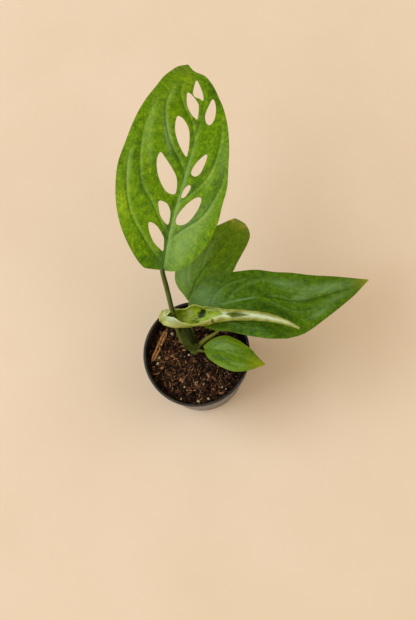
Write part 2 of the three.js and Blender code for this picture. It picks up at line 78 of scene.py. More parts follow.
# Soil
SOIL_TOP = 66
SOIL_BOTTOM = 52
SOIL_RADIUS = 41.6
SOIL_SPACING = 0.62
SOIL_SIDES = 300
SOIL_TAPER = 0.97
SOIL_SINK = 0.7
CRUMB_HEIGHT = 1.4
CLOD_HEIGHT = 0.9
CHIP_COUNT = 620
GRAIN_COUNT = 2600
PERLITE_DUST_COUNT = 34
FIBRE_COUNT = 150
# How far the bits stay from the soil's edge and from the stem
CHIP_INSET = 3
GRAIN_INSET = 1.2
PERLITE_DUST_INSET = 4
FIBRE_INSET = 7
STEM_CLEARANCE = 2.5
# One long fibre: place, length, direction in radians and radius
LONG_FIBRE = (-19.2, 2.4, 13, -0.84, 0.55)
# Larger bits of perlite: place and size
PERLITE = [
    (-7.6, -38.4, 1.9), (-21.3, -33.1, 1.3), (1.1, -38.2, 1.3), (-6.5, -22.6, 0.8), (0.1, -25.2, 1),
    (-16.5, -23.8, 0.8), (14.4, -31.4, 0.9), (17.3, -33.6, 0.7), (-16.6, 22.9, 2), (-31.9, 5.6, 1.7),
    (-34.2, 0.5, 1.4), (-6.7, 2, 1),
]

# Bark strip on the soil: its place, and a section of (side from -1 to 1, height), anticlockwise
BARK_PLACE = (-29.6, 16)
BARK_ANGLE = 0.94
BARK_LENGTH = 31
BARK_WIDTH = 4.6
BARK_LIFT = 0.9
BARK_STEPS = 60
BARK_SECTION = [
    (-0.8, -1.2), (0, -1.4), (0.8, -1.2), (1, -0.2), (0.85, 0.8), (0.55, 1.1), (0.25, 0.9), (0.05, -0.3),
    (-0.15, -0.3), (-0.35, 0.9), (-0.65, 1.2), (-0.95, 0.8), (-1.05, -0.2),
]

# Stem
STEM_AXIS = (-0.8, 5)
STEM_RADIUS = 4.4
STEM_BOTTOM = 56
STEM_TOP = 72
STEM_SIDES = 48
STEM_VOXEL = 0.32

# Sheath in the fork of the two thick stalks
SHEATH = {
    "line": [(-1, 5, 68), (-3, 7.6, 74), (-5, 12, 81.5), (-5.7, 16.2, 88.5), (-5.8, 19, 94)],
    "radii": [3.8, 3.7, 3.6, 3.2, 1.6],
    "groove": 0,
}
# How far the painted shade round the sheath in the fork reaches
SHEATH_SHADE = 4.5

# Stalks: centre line, radii along it, where the stem's stub ends, and the depth of the groove. Round a stalk,
# places are in radians from its right, over its far side.
STALK_STEPS = 90
STALK_SIDES = 36
GROOVE_SIDE = 4
GROOVE_REACH = 0.45
GROOVE_FADE = 2.2
# Painted light on a stalk: the side that faces the window, in radians, and how much lighter it is
LIT_SIDE = 3.6
LIT_TONE = 0.6
STALKS = {
    "large": {
        "line": [
            (-1.6, 4.6, 67.5), (-5.4, 7.4, 73.5), (-8.8, 13.6, 82), (-10, 20.1, 93), (-10.6, 26.9, 104),
            (-10.6, 34.8, 113), (-10.4, 46.4, 124), (-10.5, 57.2, 133.5), (-9.4, 60, 135.3),
        ],
        "radii": [2.9, 2.9, 2.6, 2.3, 2.1, 2, 2, 1.9, 1.3],
        "stub": 0.22,
        "groove": 0.3,
    },
    "back": {
        "line": [
            (-0.6, 6.4, 68.5), (0.2, 13, 72), (1, 24, 76.5), (2.2, 34, 80.5), (4.4, 43, 81),
            (4.7, 44.4, 83.2), (5, 44.6, 85.4),
        ],
        "radii": [1.9, 1.7, 1.3, 1.2, 1.2, 1.2, 0.9],
        "stub": 0.17,
        "groove": 0,
    },
    "right": {
        "line": [
            (0.4, 5.4, 68.5), (5.8, 7.8, 74.5), (11.2, 9, 80.6), (22.6, 11.4, 88.6), (27, 17, 91),
            (24.4, 25, 91.2), (18.6, 29.6, 91.8), (17.4, 29.9, 93.9), (16.9, 30, 95.6),
        ],
        "radii": [2.4, 2.2, 1.6, 1.3, 1.3, 1.3, 1.3, 1.3, 1],
        "stub": 0.12,
        "groove": 0.3,
    },
    "small": {
        "line": [(0.2, 4.2, 69), (4, 2, 71.6), (7.6, 0.7, 72), (8.4, 0.3, 73.6), (8.6, 0.2, 75.6)],
        "radii": [1.9, 1.5, 1.2, 1.2, 0.9],
        "stub": 0.32,
        "groove": 0,
    },
    "new": {
        "line": [(-0.6, 4.4, 67.5), (-1.2, 7.4, 75), (-1.8, 13.3, 85), (-1.9, 19, 94), (-1.5, 21.2, 98.2)],
        "radii": [3, 3, 2.8, 2.5, 2.3],
        "stub": 0.36,
        "groove": 0.15,
    },
}

# Blades: a point of a blade is (x across, y along the midrib) on the unfolded leaf. The outlines run from the
# stalk to the tip, and across is the direction of +x at the base and at the tip. Each patch of other colour
# and painted light is (x, y, half length, half width, lean in degrees, tone, sheen, ripeness). Tone runs from
# -1, deep, to 1, light; it is partly the leaf's own mottling and partly painted shade in creases and hollows
# and painted light on slopes that face the window. Sheen is a painted highlight. The midrib's painted light
# is
# listed from the base: above 0 a painted highlight, below 0 a painted shade line.
VALLEY_RADIUS = 4
MARGIN_GROWTH = 0.3
BLADE_THICKNESS = 0.6
MIDRIB_HEIGHT = 1.1
MIDRIB_WIDTH = 2
# Shift left of the midrib of the line its colour band is measured from: painted shade or a painted highlight
# on top, its own paler colour below
RIB_SHADE = 0.6
MARGIN_REACH = 2.5
MARGIN_DROP = 0.15
# Flesh puffed up beside a vein or the midrib, first to its right: how far from it, reach, height
VEIN_PUFFS = [(2.4, 1.7, 0.5), (2.6, 2, 0.175)]
RIB_PUFFS = [(2.2, 1.6, 0.4), (2.4, 1.8, 0.12)]
VEIN_GROOVE = 0.3
RIB_GROOVE = 0.45
# The share of a vein over which it fades, from its start and to its end
VEIN_FADES = (0.12, 0.35)
LEAVES = {
    "large": {
        "midrib": [
            (-9.9, 58.8, 135), (3.9, 88.5, 147), (19.8, 116.2, 155), (35.5, 145.2, 158), (47.5, 169.2, 156),
            (54.1, 190, 151.5), (53.3, 208.3, 146), (49.5, 218.9, 142), (47.9, 228.3, 138),
        ],
        "across": [(0.98, -0.45, 0), (0.98, -0.4, 0)],
        "left": [
            (-1.5, -0.5), (-9, -1), (-16, 0), (-26.3, 11), (-38.2, 29.5), (-47.2, 50), (-52, 71.5),
            (-52.6, 90), (-50.4, 115), (-43.6, 140.5), (-32.8, 160), (-18.6, 175.6), (-8.8, 186), (0, 192),
        ],
        "right": [
            (1.5, -0.5), (9.5, 0.5), (16.5, 4.5), (26.5, 16), (33, 29), (36, 43), (35.7, 57), (35.5, 71),
            (32, 87), (28.5, 103), (23, 120), (16.4, 137.5), (11.5, 150), (8.7, 166), (6.7, 175.6),
            (2.5, 182), (1, 188), (0.6, 191.5),
        ],
        "holes": [
            [(-17.1, 34.2), (-14.6, 35.1), (-9.6, 32.6), (-3.7, 25.7), (-2.4, 20.7), (-2.1, 14.8),
             (-5.3, 16.2), (-10.6, 20.5), (-15.1, 27.7)],
            [(-13.8, 51.9), (-12.2, 53.2), (-7.2, 51.9), (-3.3, 47.2), (-1.8, 41.4), (-2, 35.8), (-5.4, 37.4),
             (-9.4, 41.4), (-12.1, 46.9)],
            [(-23.3, 91.1), (-18.4, 87.5), (-10.9, 80.1), (-5.4, 73), (-2.9, 63.6), (-4.2, 59.8),
             (-11.4, 61.9), (-19.7, 72.3), (-24, 83.7)],
            [(-18.6, 123.8), (-13.7, 123.2), (-7.4, 115.7), (-3.9, 105.7), (-2.3, 93.8), (-3.9, 92.2),
             (-12, 101.9), (-17.4, 112.8)],
            [(-13.4, 149.5), (-10, 148.1), (-4.7, 141.2), (-3.2, 135.8), (-2.6, 125.8), (-4.6, 125.9),
             (-8.6, 129.3), (-12.7, 136.1), (-14, 144.1)],
            [(-2.1, 167.6), (-1.2, 158.5), (-0.4, 144.9), (-3.4, 145.6), (-7.3, 146.4), (-8.9, 150.3),
             (-6.7, 158.7)],
            [(17.1, 60.5), (18.7, 58.5), (18.4, 51.9), (15.4, 43.5), (11.3, 38.2), (6.1, 36.7), (3.3, 38.9),
             (3.9, 45), (8.3, 53.8), (13.4, 59.4)],
            [(5.1, 68.9), (7.5, 67.8), (6.8, 63), (4.8, 58.7), (2.5, 58.4), (2, 61), (3, 66)],
            [(11.5, 94.9), (13.7, 93), (12.3, 80.4), (8.5, 76.3), (4.5, 79.2), (6.3, 87.3)],
            [(7.1, 146.7), (10.6, 137.3), (10.9, 125.7), (7.9, 120.9), (4.1, 125), (3, 133.2)],
        ],
        "veins": [
            [(0, 71), (-2.3, 80), (-17.9, 100.3), (-26.8, 118.3), (-30, 134.3), (-26.3, 150.8), (-18, 166)],
            [(0, 20), (-2, 27.4), (-19.3, 50.6), (-30.4, 62.8), (-36.6, 79.4), (-41, 99.2), (-41.2, 121.3),
             (-35, 143)],
            [(0, 3), (-12, 14), (-25, 29.2), (-34.4, 42.2), (-42.8, 62.7), (-47, 85), (-46.5, 108)],
            [(0, 52), (10.8, 65.8), (18.5, 79.1), (20.5, 96.6), (19.3, 113.4), (13.5, 132)],
            [(0, 22), (8.6, 32.8), (22.4, 46), (28.6, 63.4), (30.5, 77.1), (27, 96)],
            [(0, 103), (-7, 122), (-16, 135), (-19.5, 150), (-12, 168)],
            [(-5.2, 124.8), (-2.8, 129.3), (0, 131.8)],
        ],
        "patches": [
            (1.8, 40, 34, 1.6, 0, 0, 1, 0), (1.2, 85, 30, 1.4, 0, 0, 0.7, 0),
            (-2.4, 24, 26, 2.2, 0, -1.8, 0, 0), (-8, 4, 8, 11, 0, -1.2, 0, 0),
            (12, 22, 22, 9, -18, 0.3, 0.9, 0), (25, 46, 15, 5, -20, 0.4, 0.45, 0),
            (17, 44, 16, 3.5, -32, -1, 0, 0), (11, 71, 8, 4, -10, -0.7, 0, 0),
            (27, 72, 12, 3.5, -5, -0.6, 0, 0), (27, 90, 16, 3, 8, -0.3, 0.5, 0),
            (21, 76, 9, 3, -5, 0.5, 0.4, 0), (-42, 48, 16, 5, 16, 1, 0, 0), (-33, 36, 14, 6, 30, 0.4, 0, 0),
            (-12, 47, 10, 4, 30, 0.3, 0, 0), (-9.6, 90, 14, 3, 35, -1, 0, 0),
            (-31, 66, 10, 2, 25, -0.8, 0, 0), (-37, 114, 20, 3, 5, 0.7, 0.5, 0),
            (-31, 90, 12, 3, 20, 0.6, 0.3, 0), (-44, 76, 14, 2.6, 12, 0.4, 0.5, 0),
            (-27, 142, 12, 3, -12, 0.5, 0.3, 0), (-22, 108, 16, 2.4, 22, 0, 0.9, 0),
            (-12, 163, 12, 9, -50, 0.5, 0, 0), (9, 152, 16, 5, 8, -1, 0, 0), (4, 128, 6, 4, 0, -1, 0, 0),
            (-42, 88, 12, 2, 5, -0.7, 0, 0), (-24, 78, 14, 2.5, 20, -0.5, 0, 0),
        ],
        "midrib_painted_light": [-1, -0.9, -0.6, -0.6, -0.6, -0.6, -0.3, 0],
        "vein_line": 0.62,
        "relief": 1,
        "wrinkle": 0.3,
        "fold": 0.22,
        "cup": 0.0022,
        "ripple": (1.5, 3.5, 0.4),
        "spacing": 1.05,
    },
    "back": {
        "midrib": [
            (4, 43.1, 86), (16.8, 59.9, 92), (38.7, 76.8, 95), (55, 93.2, 88), (60.6, 104.9, 78),
            (62.4, 109.7, 68),
        ],
        "across": [(0.92, -0.75, 0), (0.92, -0.9, 0)],
        "left": [
            (-1, -0.4), (-5.7, 2.4), (-12.3, 6), (-17.5, 12), (-21.4, 25), (-23.7, 37), (-23.2, 48),
            (-20, 58.5), (-14.8, 69.6), (-8.9, 81), (-3.2, 93), (0, 102),
        ],
        "right": [
            (1, -0.4), (7.4, 2.6), (16.5, 12.5), (21.4, 26), (20.5, 38), (18.4, 47), (16.8, 58), (15.1, 69.5),
            (13, 79.3), (9, 89), (3.4, 97), (0, 102),
        ],
        "holes": [],
        "veins": [
            [(0, 6), (-9, 17), (-15, 32), (-16.5, 48), (-13, 66)],
            [(0, 26), (-7, 38), (-10.5, 54), (-8.5, 74)],
            [(0, 6), (8, 16), (14, 28), (14, 44), (11, 60)],
            [(0, 28), (6, 40), (8.5, 56), (6, 76)],
        ],
        "patches": [
            (-12, 17, 14, 7, 25, 0.3, 0.9, 0), (-7, 36, 16, 5, 8, 0, 0.5, 0),
            (9, 21, 12, 5, -20, -0.4, 0.4, 0), (-5.5, 58, 10, 4, 0, -0.5, 0, 0),
            (12, 42, 12, 5, 0, -0.2, 0, 0), (0, 86, 8, 9, 0, 0.8, 0, 0.12),
            (-6.5, 88.5, 4, 1.4, 25, 0, 0, 0.9), (9, 90, 7, 1.2, -30, 0, 0, 0.7), (3, 8, 8, 3, 0, -0.8, 0, 0),
        ],
        "midrib_painted_light": [-0.8, -0.8, -0.7, -0.6, -0.3, 0],
        "vein_line": 0.22,
        "relief": 0.6,
        "wrinkle": 0.4,
        "fold": 0.15,
        "cup": 0.004,
        "ripple": (0.9, 2, 1),
        "spacing": 1.05,
    },
    "right": {
        "midrib": [
            (15.5, 30, 96), (30.4, 29.1, 101), (64.2, 25.8, 106), (91.7, 15.1, 105.5), (130.5, 17.8, 98),
            (153.7, 24.6, 88),
        ],
        "across": [(0.16, -1, 0), (0.1, -1, 0)],
        "left": [
            (-1, -0.6), (-2.5, -7), (-6, -11.2), (-11.5, -9.6), (-15.7, -3.9), (-19.3, 1.4), (-22.5, 7.5),
            (-24.8, 21), (-24.4, 40), (-25, 64.9), (-25, 81.1), (-17.8, 103.9), (-10, 123.8), (0, 145.9),
        ],
        "right": [
            (1, -0.6), (3, -6.5), (8, -9.2), (13.5, -7.2), (19, 0.2), (24.4, 14.1), (31.5, 28.2), (37, 42),
            (37.2, 53.6), (33, 63.2), (21.2, 86.4), (12.1, 109.6), (3.7, 133.5), (0, 145.9),
        ],
        "holes": [],
        "veins": [
            [(0, 4), (-10, 12), (-17, 28), (-18.5, 48), (-17, 68)],
            [(-1, 17), (-11.9, 33), (-17.8, 56.2), (-17, 76)],
            [(0, 50), (-5.4, 64.9), (-0.2, 77.3), (7.4, 81)],
            [(-4, 74), (-8.9, 83.3), (-6.5, 98.4), (-10.3, 116.6)],
            [(2, 29.6), (12, 36), (20.1, 46), (20, 64.8)],
            [(0, 52), (6, 66), (7, 82), (4, 102)],
            [(0, 4), (12, 14), (22, 30), (27, 48)],
        ],
        "patches": [
            (-9, 4, 12, 13, 10, 0, 0.85, 0), (-8, 46, 14, 8, 0, -0.4, 0, 0), (-16, 74, 12, 3, 0, 0, 0.75, 0),
            (-7, 103, 24, 3.6, -8, 0.7, 1, 0), (-3, 82, 8, 2.2, 0, 0, 0.8, 0),
            (11, 56, 14, 4.5, -30, -1, 0, 0), (6, 40, 10, 4, -20, -0.5, 0, 0),
            (12, 92, 10, 2.4, 16, 0.5, 0.8, 0), (4, 108, 14, 2.2, 6, 0.2, 0.6, 0),
            (30, 44, 14, 5, -30, -0.8, 0, 0), (24, 20, 12, 5, -30, -0.5, 0, 0),
            (-1, 140, 9, 5, 0, 0.9, 0, 0.2), (0, 146.5, 2.5, 2, 0, 0, 0, 0.9), (-13, 56, 9, 4, 0, 0.3, 0, 0),
            (22, 74, 10, 5, 30, 0.3, 0, 0),
        ],
        "midrib_painted_light": [0, 0.8, 1, -0.7, -0.8, -0.7, -0.5, -0.3, 0],
        "vein_line": 0.24,
        "relief": 0.9,
        "wrinkle": 1.2,
        "fold": 0.12,
        "cup": 0.001,
        "ripple": (1.3, 3, 2.2),
        "spacing": 1.05,
    },
    "small": {
        "midrib": [
            (7.6, 0.7, 76), (21.1, -5.6, 82.5), (30.5, -12.7, 85), (41.6, -19.5, 84), (53.7, -23.5, 79),
        ],
        "across": [(-0.35, -1, 0), (-0.3, -1, 0)],
        "left": [
            (-0.8, -0.4), (-2.3, -2.2), (-6.4, 1.4), (-9.7, 6.1), (-12.6, 13.7), (-14.6, 21), (-14.6, 30),
            (-12.5, 36.9), (-10.1, 42.2), (-5.3, 48), (0, 55.2),
        ],
        "right": [
            (0.8, -0.4), (2.9, 1), (6.6, 4.6), (9.2, 9.4), (11.9, 15.4), (12.5, 21.8), (11.8, 27.8),
            (10.1, 33.6), (7.2, 40.1), (2.2, 50.4), (0, 55.2),
        ],
        "holes": [],
        "veins": [
            [(0, 4), (-6, 11), (-10, 21), (-9, 33), (-4, 45)],
            [(0, 16), (-4, 24), (-5, 34), (-2.5, 46)],
            [(0, 4), (5, 10), (8, 20), (7, 31), (3.5, 43)],
            [(0, 17), (3, 24), (3.5, 34), (1.5, 46)],
        ],
        "patches": [
            (-5.5, 14, 9, 4, 0, 0.3, 0.85, 0), (-6, 24, 7, 3, 0, 0, 0.4, 0), (5, 33, 6, 2, 10, 0.5, 0.7, 0),
            (12, 21, 10, 1.6, 0, 0, 0.5, 0), (5, 14, 9, 2.6, -10, -1, 0, 0), (-7, 37, 6, 2.5, 10, -0.6, 0, 0),
            (0.5, 49, 8, 5, 0, 1, 0, 0.35), (4, 22, 6, 2, 0, -0.6, 0, 0), (-12, 32, 10, 2, 0, 0.4, 0, 0.1),
            (0, 55.5, 2, 1.5, 0, 0, 0, 0.8),
        ],
        "midrib_painted_light": [-0.7, -0.8, -0.6, -0.4, -0.2, 0],
        "vein_line": 0.3,
        "relief": 0.9,
        "wrinkle": 0.6,
        "fold": 0.16,
        "cup": 0.004,
        "ripple": (0.7, 1.5, 0),
        "spacing": 0.8,
    },
}

# The new leaf's roll: centre line, radius along it, and angles of its two edges round it, in degrees from
# its underside, positive on the far side. Past 180 the far edge laps over the near one. Its listed sheen is a
# painted highlight. A patch of other colour and painted light is (place in the list, angle, half its run in
# places, half its angle, tone, sheen): its sheen is a painted highlight, and its darkest tones are painted
# shade, in a gap of the far wall, which they also dent, and in a notch of the near flap.
NEW_LEAF = {
    "line": [
        (-22.4, 31, 104), (-20.6, 30.2, 103.8), (-16.9, 28.8, 103.6), (-10.1, 25.9, 104), (-1.3, 23.5, 105),
        (6.9, 22.2, 106.5), (14.9, 20.5, 108), (23, 19.1, 109.5), (30.9, 17.1, 111.5), (38, 14.9, 113.2),
        (53.1, 9.9, 116), (64.1, 5, 117.5), (74.8, -1.2, 118.5), (84.6, -8.7, 118),
    ],
    "radii": [0.8, 4.6, 6.3, 7.6, 7.1, 7.2, 6.8, 5.6, 4.6, 4.2, 3.5, 2.9, 1.9, 0.7],
    "near_edge": [-176, -176, -176, -174, -136, -112, -136, -154, -172, -146, -172, -172, -172, -172],
    "far_edge": [194, 194, 192, 136, 108, 116, 118, 128, 186, 168, 192, 194, 194, 194],
    "flare": [0.1, 0.1, 0.1, 0.12, 0.16, 0.42, 0.2, 0.1, 0.14, 0.05, 0.18, 0.2, 0.25, 0.3],
    "rim_tone": [0, 0, 0, 0.4, 0.6, 1, 0.6, 0.4, -0.4, -1, -0.3, 0, 0, 0],
    "sheen": [0, 0.1, 0.25, 0.7, 1, 1, 1, 1, 0.9, 0.6, 1, 1, 0.7, 0.2],
    "patches": [
        (4.3, 55, 0.3, 30, 0.3, 0.6), (5.3, 30, 0.3, 20, -1.5, 0), (5.62, 44, 0.26, 22, -1.5, 0),
        (6.5, 72, 0.5, 14, 0.4, 0.9), (6.72, -120, 0.14, 26, -1.4, -1), (3.2, -150, 0.5, 30, -0.5, 0),
        (7.6, 110, 0.5, 20, 0.8, 0.2), (2.2, 150, 0.8, 40, 0.3, 0.2), (3.4, -60, 0.7, 22, -0.6, 0),
        (2.6, -112, 0.9, 30, 1.1, 0.2),
    ],
}
# The painted sheen: the angle round the roll that faces the camera, and the sheen's reach from it in degrees
ROLL_FACING = -167
ROLL_SHEEN = 24
ROLL_THICKNESS = 0.7
ROLL_LEAST_RADIUS = 0.5
ROLL_RIM = 0.9
ROLL_DENT = 0.9
ROLL_SWAY = 0.35
ROLL_RIPPLE = 0.25
ROLL_ROWS = 260
ROLL_COLUMNS = 84
ROLL_KEYS = ("radii", "near_edge", "far_edge", "flare", "rim_tone", "sheen")

# Floor and light: a window at the photo's left, a weak fill at its right, and a warm room
FLOOR_REACH = 3000
LAMP_AIM = (40, 60, 60)
LAMPS = {
    "window": {"place": (-2550, 560, 2400), "size": 3000, "power": 102, "tint": (0.72, 0.87, 1.0)},
    "fill": {"place": (2300, -300, 2300), "size": 2400, "power": 22, "tint": (0.9, 0.95, 1.0)},
}
ROOM_COLOUR = (1.0, 0.85, 0.62, 1)
ROOM_STRENGTH = 0.59


class Curve:
    """A smooth curve through listed points, read by the place in the list from 0 to 1, or by length."""

    def __init__(self, points):
        listed = np.array(points, float)
        before = 2 * listed[0] - listed[1]
        after = 2 * listed[-1] - listed[-2]
        self.points = np.vstack([before, listed, after])
        self.spans = len(listed) - 1
        self.places = np.linspace(0, 1, 601)
        table = self.at(self.places)
        steps = np.linalg.norm(np.diff(table, axis=0), axis=1)
        self.lengths = np.concatenate([[0], np.cumsum(steps)])
        self.length = self.lengths[-1]

    def at(self, place):
        spot = np.clip(np.asarray(place, float), 0, 1) * self.spans
        first = np.minimum(spot.astype(int), self.spans - 1)
        t = (spot - first)[..., None]
        a, b, c, d = (self.points[first + k] for k in range(4))
        square, cube = 2 * a - 5 * b + 4 * c - d, 3 * b - a - 3 * c + d
        return 0.5 * (2 * b + (c - a) * t + square * t**2 + cube * t**3)

    def at_length(self, length):
        return self.at(np.interp(length, self.lengths, self.places))

    def tangent(self, place):
        step = 1e-4
        ahead = self.at(np.clip(np.asarray(place) + step, 0, 1))
        behind = self.at(np.clip(np.asarray(place) - step, 0, 1))
        return unit(ahead - behind)

    def tangent_at_length(self, length):
        return self.tangent(np.interp(length, self.lengths, self.places))


def unit(vectors):
    return vectors / np.maximum(np.linalg.norm(vectors, axis=-1, keepdims=True), 1e-12)


def even_angles(count):
    """Angles for a full turn, in even steps."""
    return np.linspace(0, 2 * math.pi, count, endpoint=False)


def value_along(values, place):
    """A smooth run of single values, read from 0 to 1."""
    values = np.asarray(values, float)
    spot = np.clip(np.asarray(place, float), 0, 1) * (len(values) - 1)
    first = np.minimum(spot.astype(int), len(values) - 2)
    part = spot - first
    ease = part * part * (3 - 2 * part)
    return values[first] * (1 - ease) + values[first + 1] * ease


def distance_to(points, line):
    """For flat points: the distance from a line, the side of it (1 is left), and the place along it."""
    best = np.full(len(points), 1e9)
    side = np.zeros(len(points))
    place = np.zeros(len(points))
    for k, (start, end) in enumerate(zip(line, line[1:])):
        step = end - start
        offset = points - start
        t = np.clip(offset @ step / max(step @ step, 1e-12), 0, 1)
        gap = np.linalg.norm(offset - t[:, None] * step, axis=1)
        closer = gap < best
        best = np.where(closer, gap, best)
        side = np.where(closer, np.sign(step[0] * offset[:, 1] - step[1] * offset[:, 0]), side)
        place = np.where(closer, (k + t) / (len(line) - 1), place)
    return best, side, place


def inside(points, loop):
    """Whether each flat point is inside a closed loop of flat points."""
    found = np.zeros(len(points), bool)
    for (ax, ay), (bx, by) in zip(loop, np.roll(loop, -1, axis=0)):
        crosses = (ay > points[:, 1]) != (by > points[:, 1])
        edge = (bx - ax) * (points[:, 1] - ay) / ((by - ay) or 1e-12) + ax
        found ^= crosses & (points[:, 0] < edge)
    return found


def shade_smooth(mesh):
    mesh.polygons.foreach_set("use_smooth", [True] * len(mesh.polygons))


def add_object(name, data):
    made = bpy.data.objects.new(name, data)
    bpy.context.scene.collection.objects.link(made)
    return made


def make_mesh(name, points, faces, smooth=True):
    """An object from points in millimetres and lists of corners."""
    mesh = bpy.data.meshes.new(name)
    mesh.from_pydata((np.asarray(points, float) * MM).tolist(), [], faces)
    mesh.validate()
    if smooth:
        shade_smooth(mesh)
    mesh.update()
    return add_object(name, mesh)


def add_value(made, name, values):
    layer = made.data.attributes.new(name, "FLOAT", "POINT")
    layer.data.foreach_set("value", np.asarray(values, np.float32))


def add_flat_map(made, flat):
    """A UV map that holds a flat place for each vertex, in units of 100 mm."""
    layer = made.data.uv_layers.new(name=FLAT_MAP, do_init=False)
    corners = np.zeros(len(made.data.loops), np.int32)
    made.data.loops.foreach_get("vertex_index", corners)
    layer.uv.foreach_set("vector", (np.asarray(flat, np.float32)[corners] / 100).ravel())


def two_sided(name, top, bottom, faces, border, flat, values):
    """A closed sheet: the first material on top, the second below, and a wall round its border."""
    count = len(top)
    lower = [tuple(k + count for k in reversed(face)) for face in faces]
    walls = [(b, a, a + count, b + count) for a, b in border]
    made = make_mesh(name, np.vstack([top, bottom]), [*faces, *lower, *walls])
    slots = np.zeros(len(made.data.polygons), np.int32)
    slots[len(faces):2 * len(faces)] = 1
    made.data.polygons.foreach_set("material_index", slots)
    keep_creases(made)
    add_flat_map(made, np.tile(flat, (2, 1)))
    for key, listed in values.items():
        add_value(made, key, np.tile(listed, 2))
    return made


def finish_piece(made, materials, slot, *nodes):
    """Gives a piece its materials, and says what it rides on and stands for."""
    for material in materials:
        made.data.materials.append(material)
    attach(made, "root")
    if nodes:
        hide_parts(*nodes)
    return made


def closed(loop):
    """A loop of flat points that ends where it starts."""
    return np.vstack([loop, loop[:1]])


def even_loop(points, spacing):
    """A loop of flat points at even steps along a given loop."""
    whole = closed(points)
    lengths = np.concatenate([[0], np.cumsum(np.linalg.norm(np.diff(whole, axis=0), axis=1))])
    count = max(8, round(lengths[-1] / spacing))
    stops = np.linspace(0, lengths[-1], count, endpoint=False)
    return np.stack([np.interp(stops, lengths, whole[:, k]) for k in range(2)], axis=1)


def even_line(curve, spacing):
    """Flat points at even steps along a curve."""
    return curve.at_length(np.linspace(0, curve.length, max(4, round(curve.length / spacing))))


def closed_curve(points, spacing):
    """A smooth closed loop through flat points."""
    wrapped = [points[-1], *points, points[0], points[1]]
    curve = Curve(wrapped)
    places = np.linspace(1, len(points) + 1, 40 * len(points), endpoint=False) / (len(wrapped) - 1)
    return even_loop(curve.at(places), spacing)


def flat_net(outline, holes, spacing, lines=()):
    """Points and triangles that fill an outline apart from its holes, with points along the given lines."""
    low, high = outline.min(0), outline.max(0)
    rows = np.arange(low[1], high[1], spacing * 0.866)
    grid = np.array([
        (x + (row % 2) * spacing / 2, y)
        for row, y in enumerate(rows)
        for x in np.arange(low[0], high[0], spacing)
    ])
    traced = []
    for line in lines:
        others = np.array(traced) if traced else np.full((1, 2), 1e6)
        far = [p for p in line if np.linalg.norm(others - p, axis=1).min() > 0.6 * spacing]
        grid = grid[distance_to(grid, line)[0] > 0.6 * spacing]
        traced += far
    inner = np.vstack([grid, traced]) if traced else grid
    keep = inside(inner, outline)
    for loop in [outline, *holes]:
        keep &= distance_to(inner, closed(loop))[0] > 0.5 * spacing
    for loop in holes:
        keep &= ~inside(inner, loop)
    points = [*outline, *(p for loop in holes for p in loop), *inner[keep]]
    edges = []
    start = 0
    for loop in [outline, *holes]:
        count = len(loop)
        edges += [(start + k, start + (k + 1) % count) for k in range(count)]
        start += count
    vectors = [Vector((float(x), float(y))) for x, y in points]
    found = delaunay_2d_cdt(vectors, edges, [], 1, 1e-5)
    flat = np.array([(v.x, v.y) for v in found[0]])
    faces = np.array(found[2])
    middles = flat[faces].mean(1)
    solid = np.ones(len(faces), bool)
    for loop in holes:
        solid &= ~inside(middles, loop)
    faces = faces[solid]
    a, b, c = (flat[faces[:, k]] for k in range(3))
    turned = np.cross(b - a, c - a) < 0
    faces[turned] = faces[turned][:, ::-1]
    return flat, faces


def border_of(faces):
    """The edges of triangles that only one of them has, in its direction."""
    directed = {(int(f[k]), int(f[(k + 1) % 3])) for f in faces for k in range(3)}
    return [(a, b) for a, b in sorted(directed) if (b, a) not in directed]


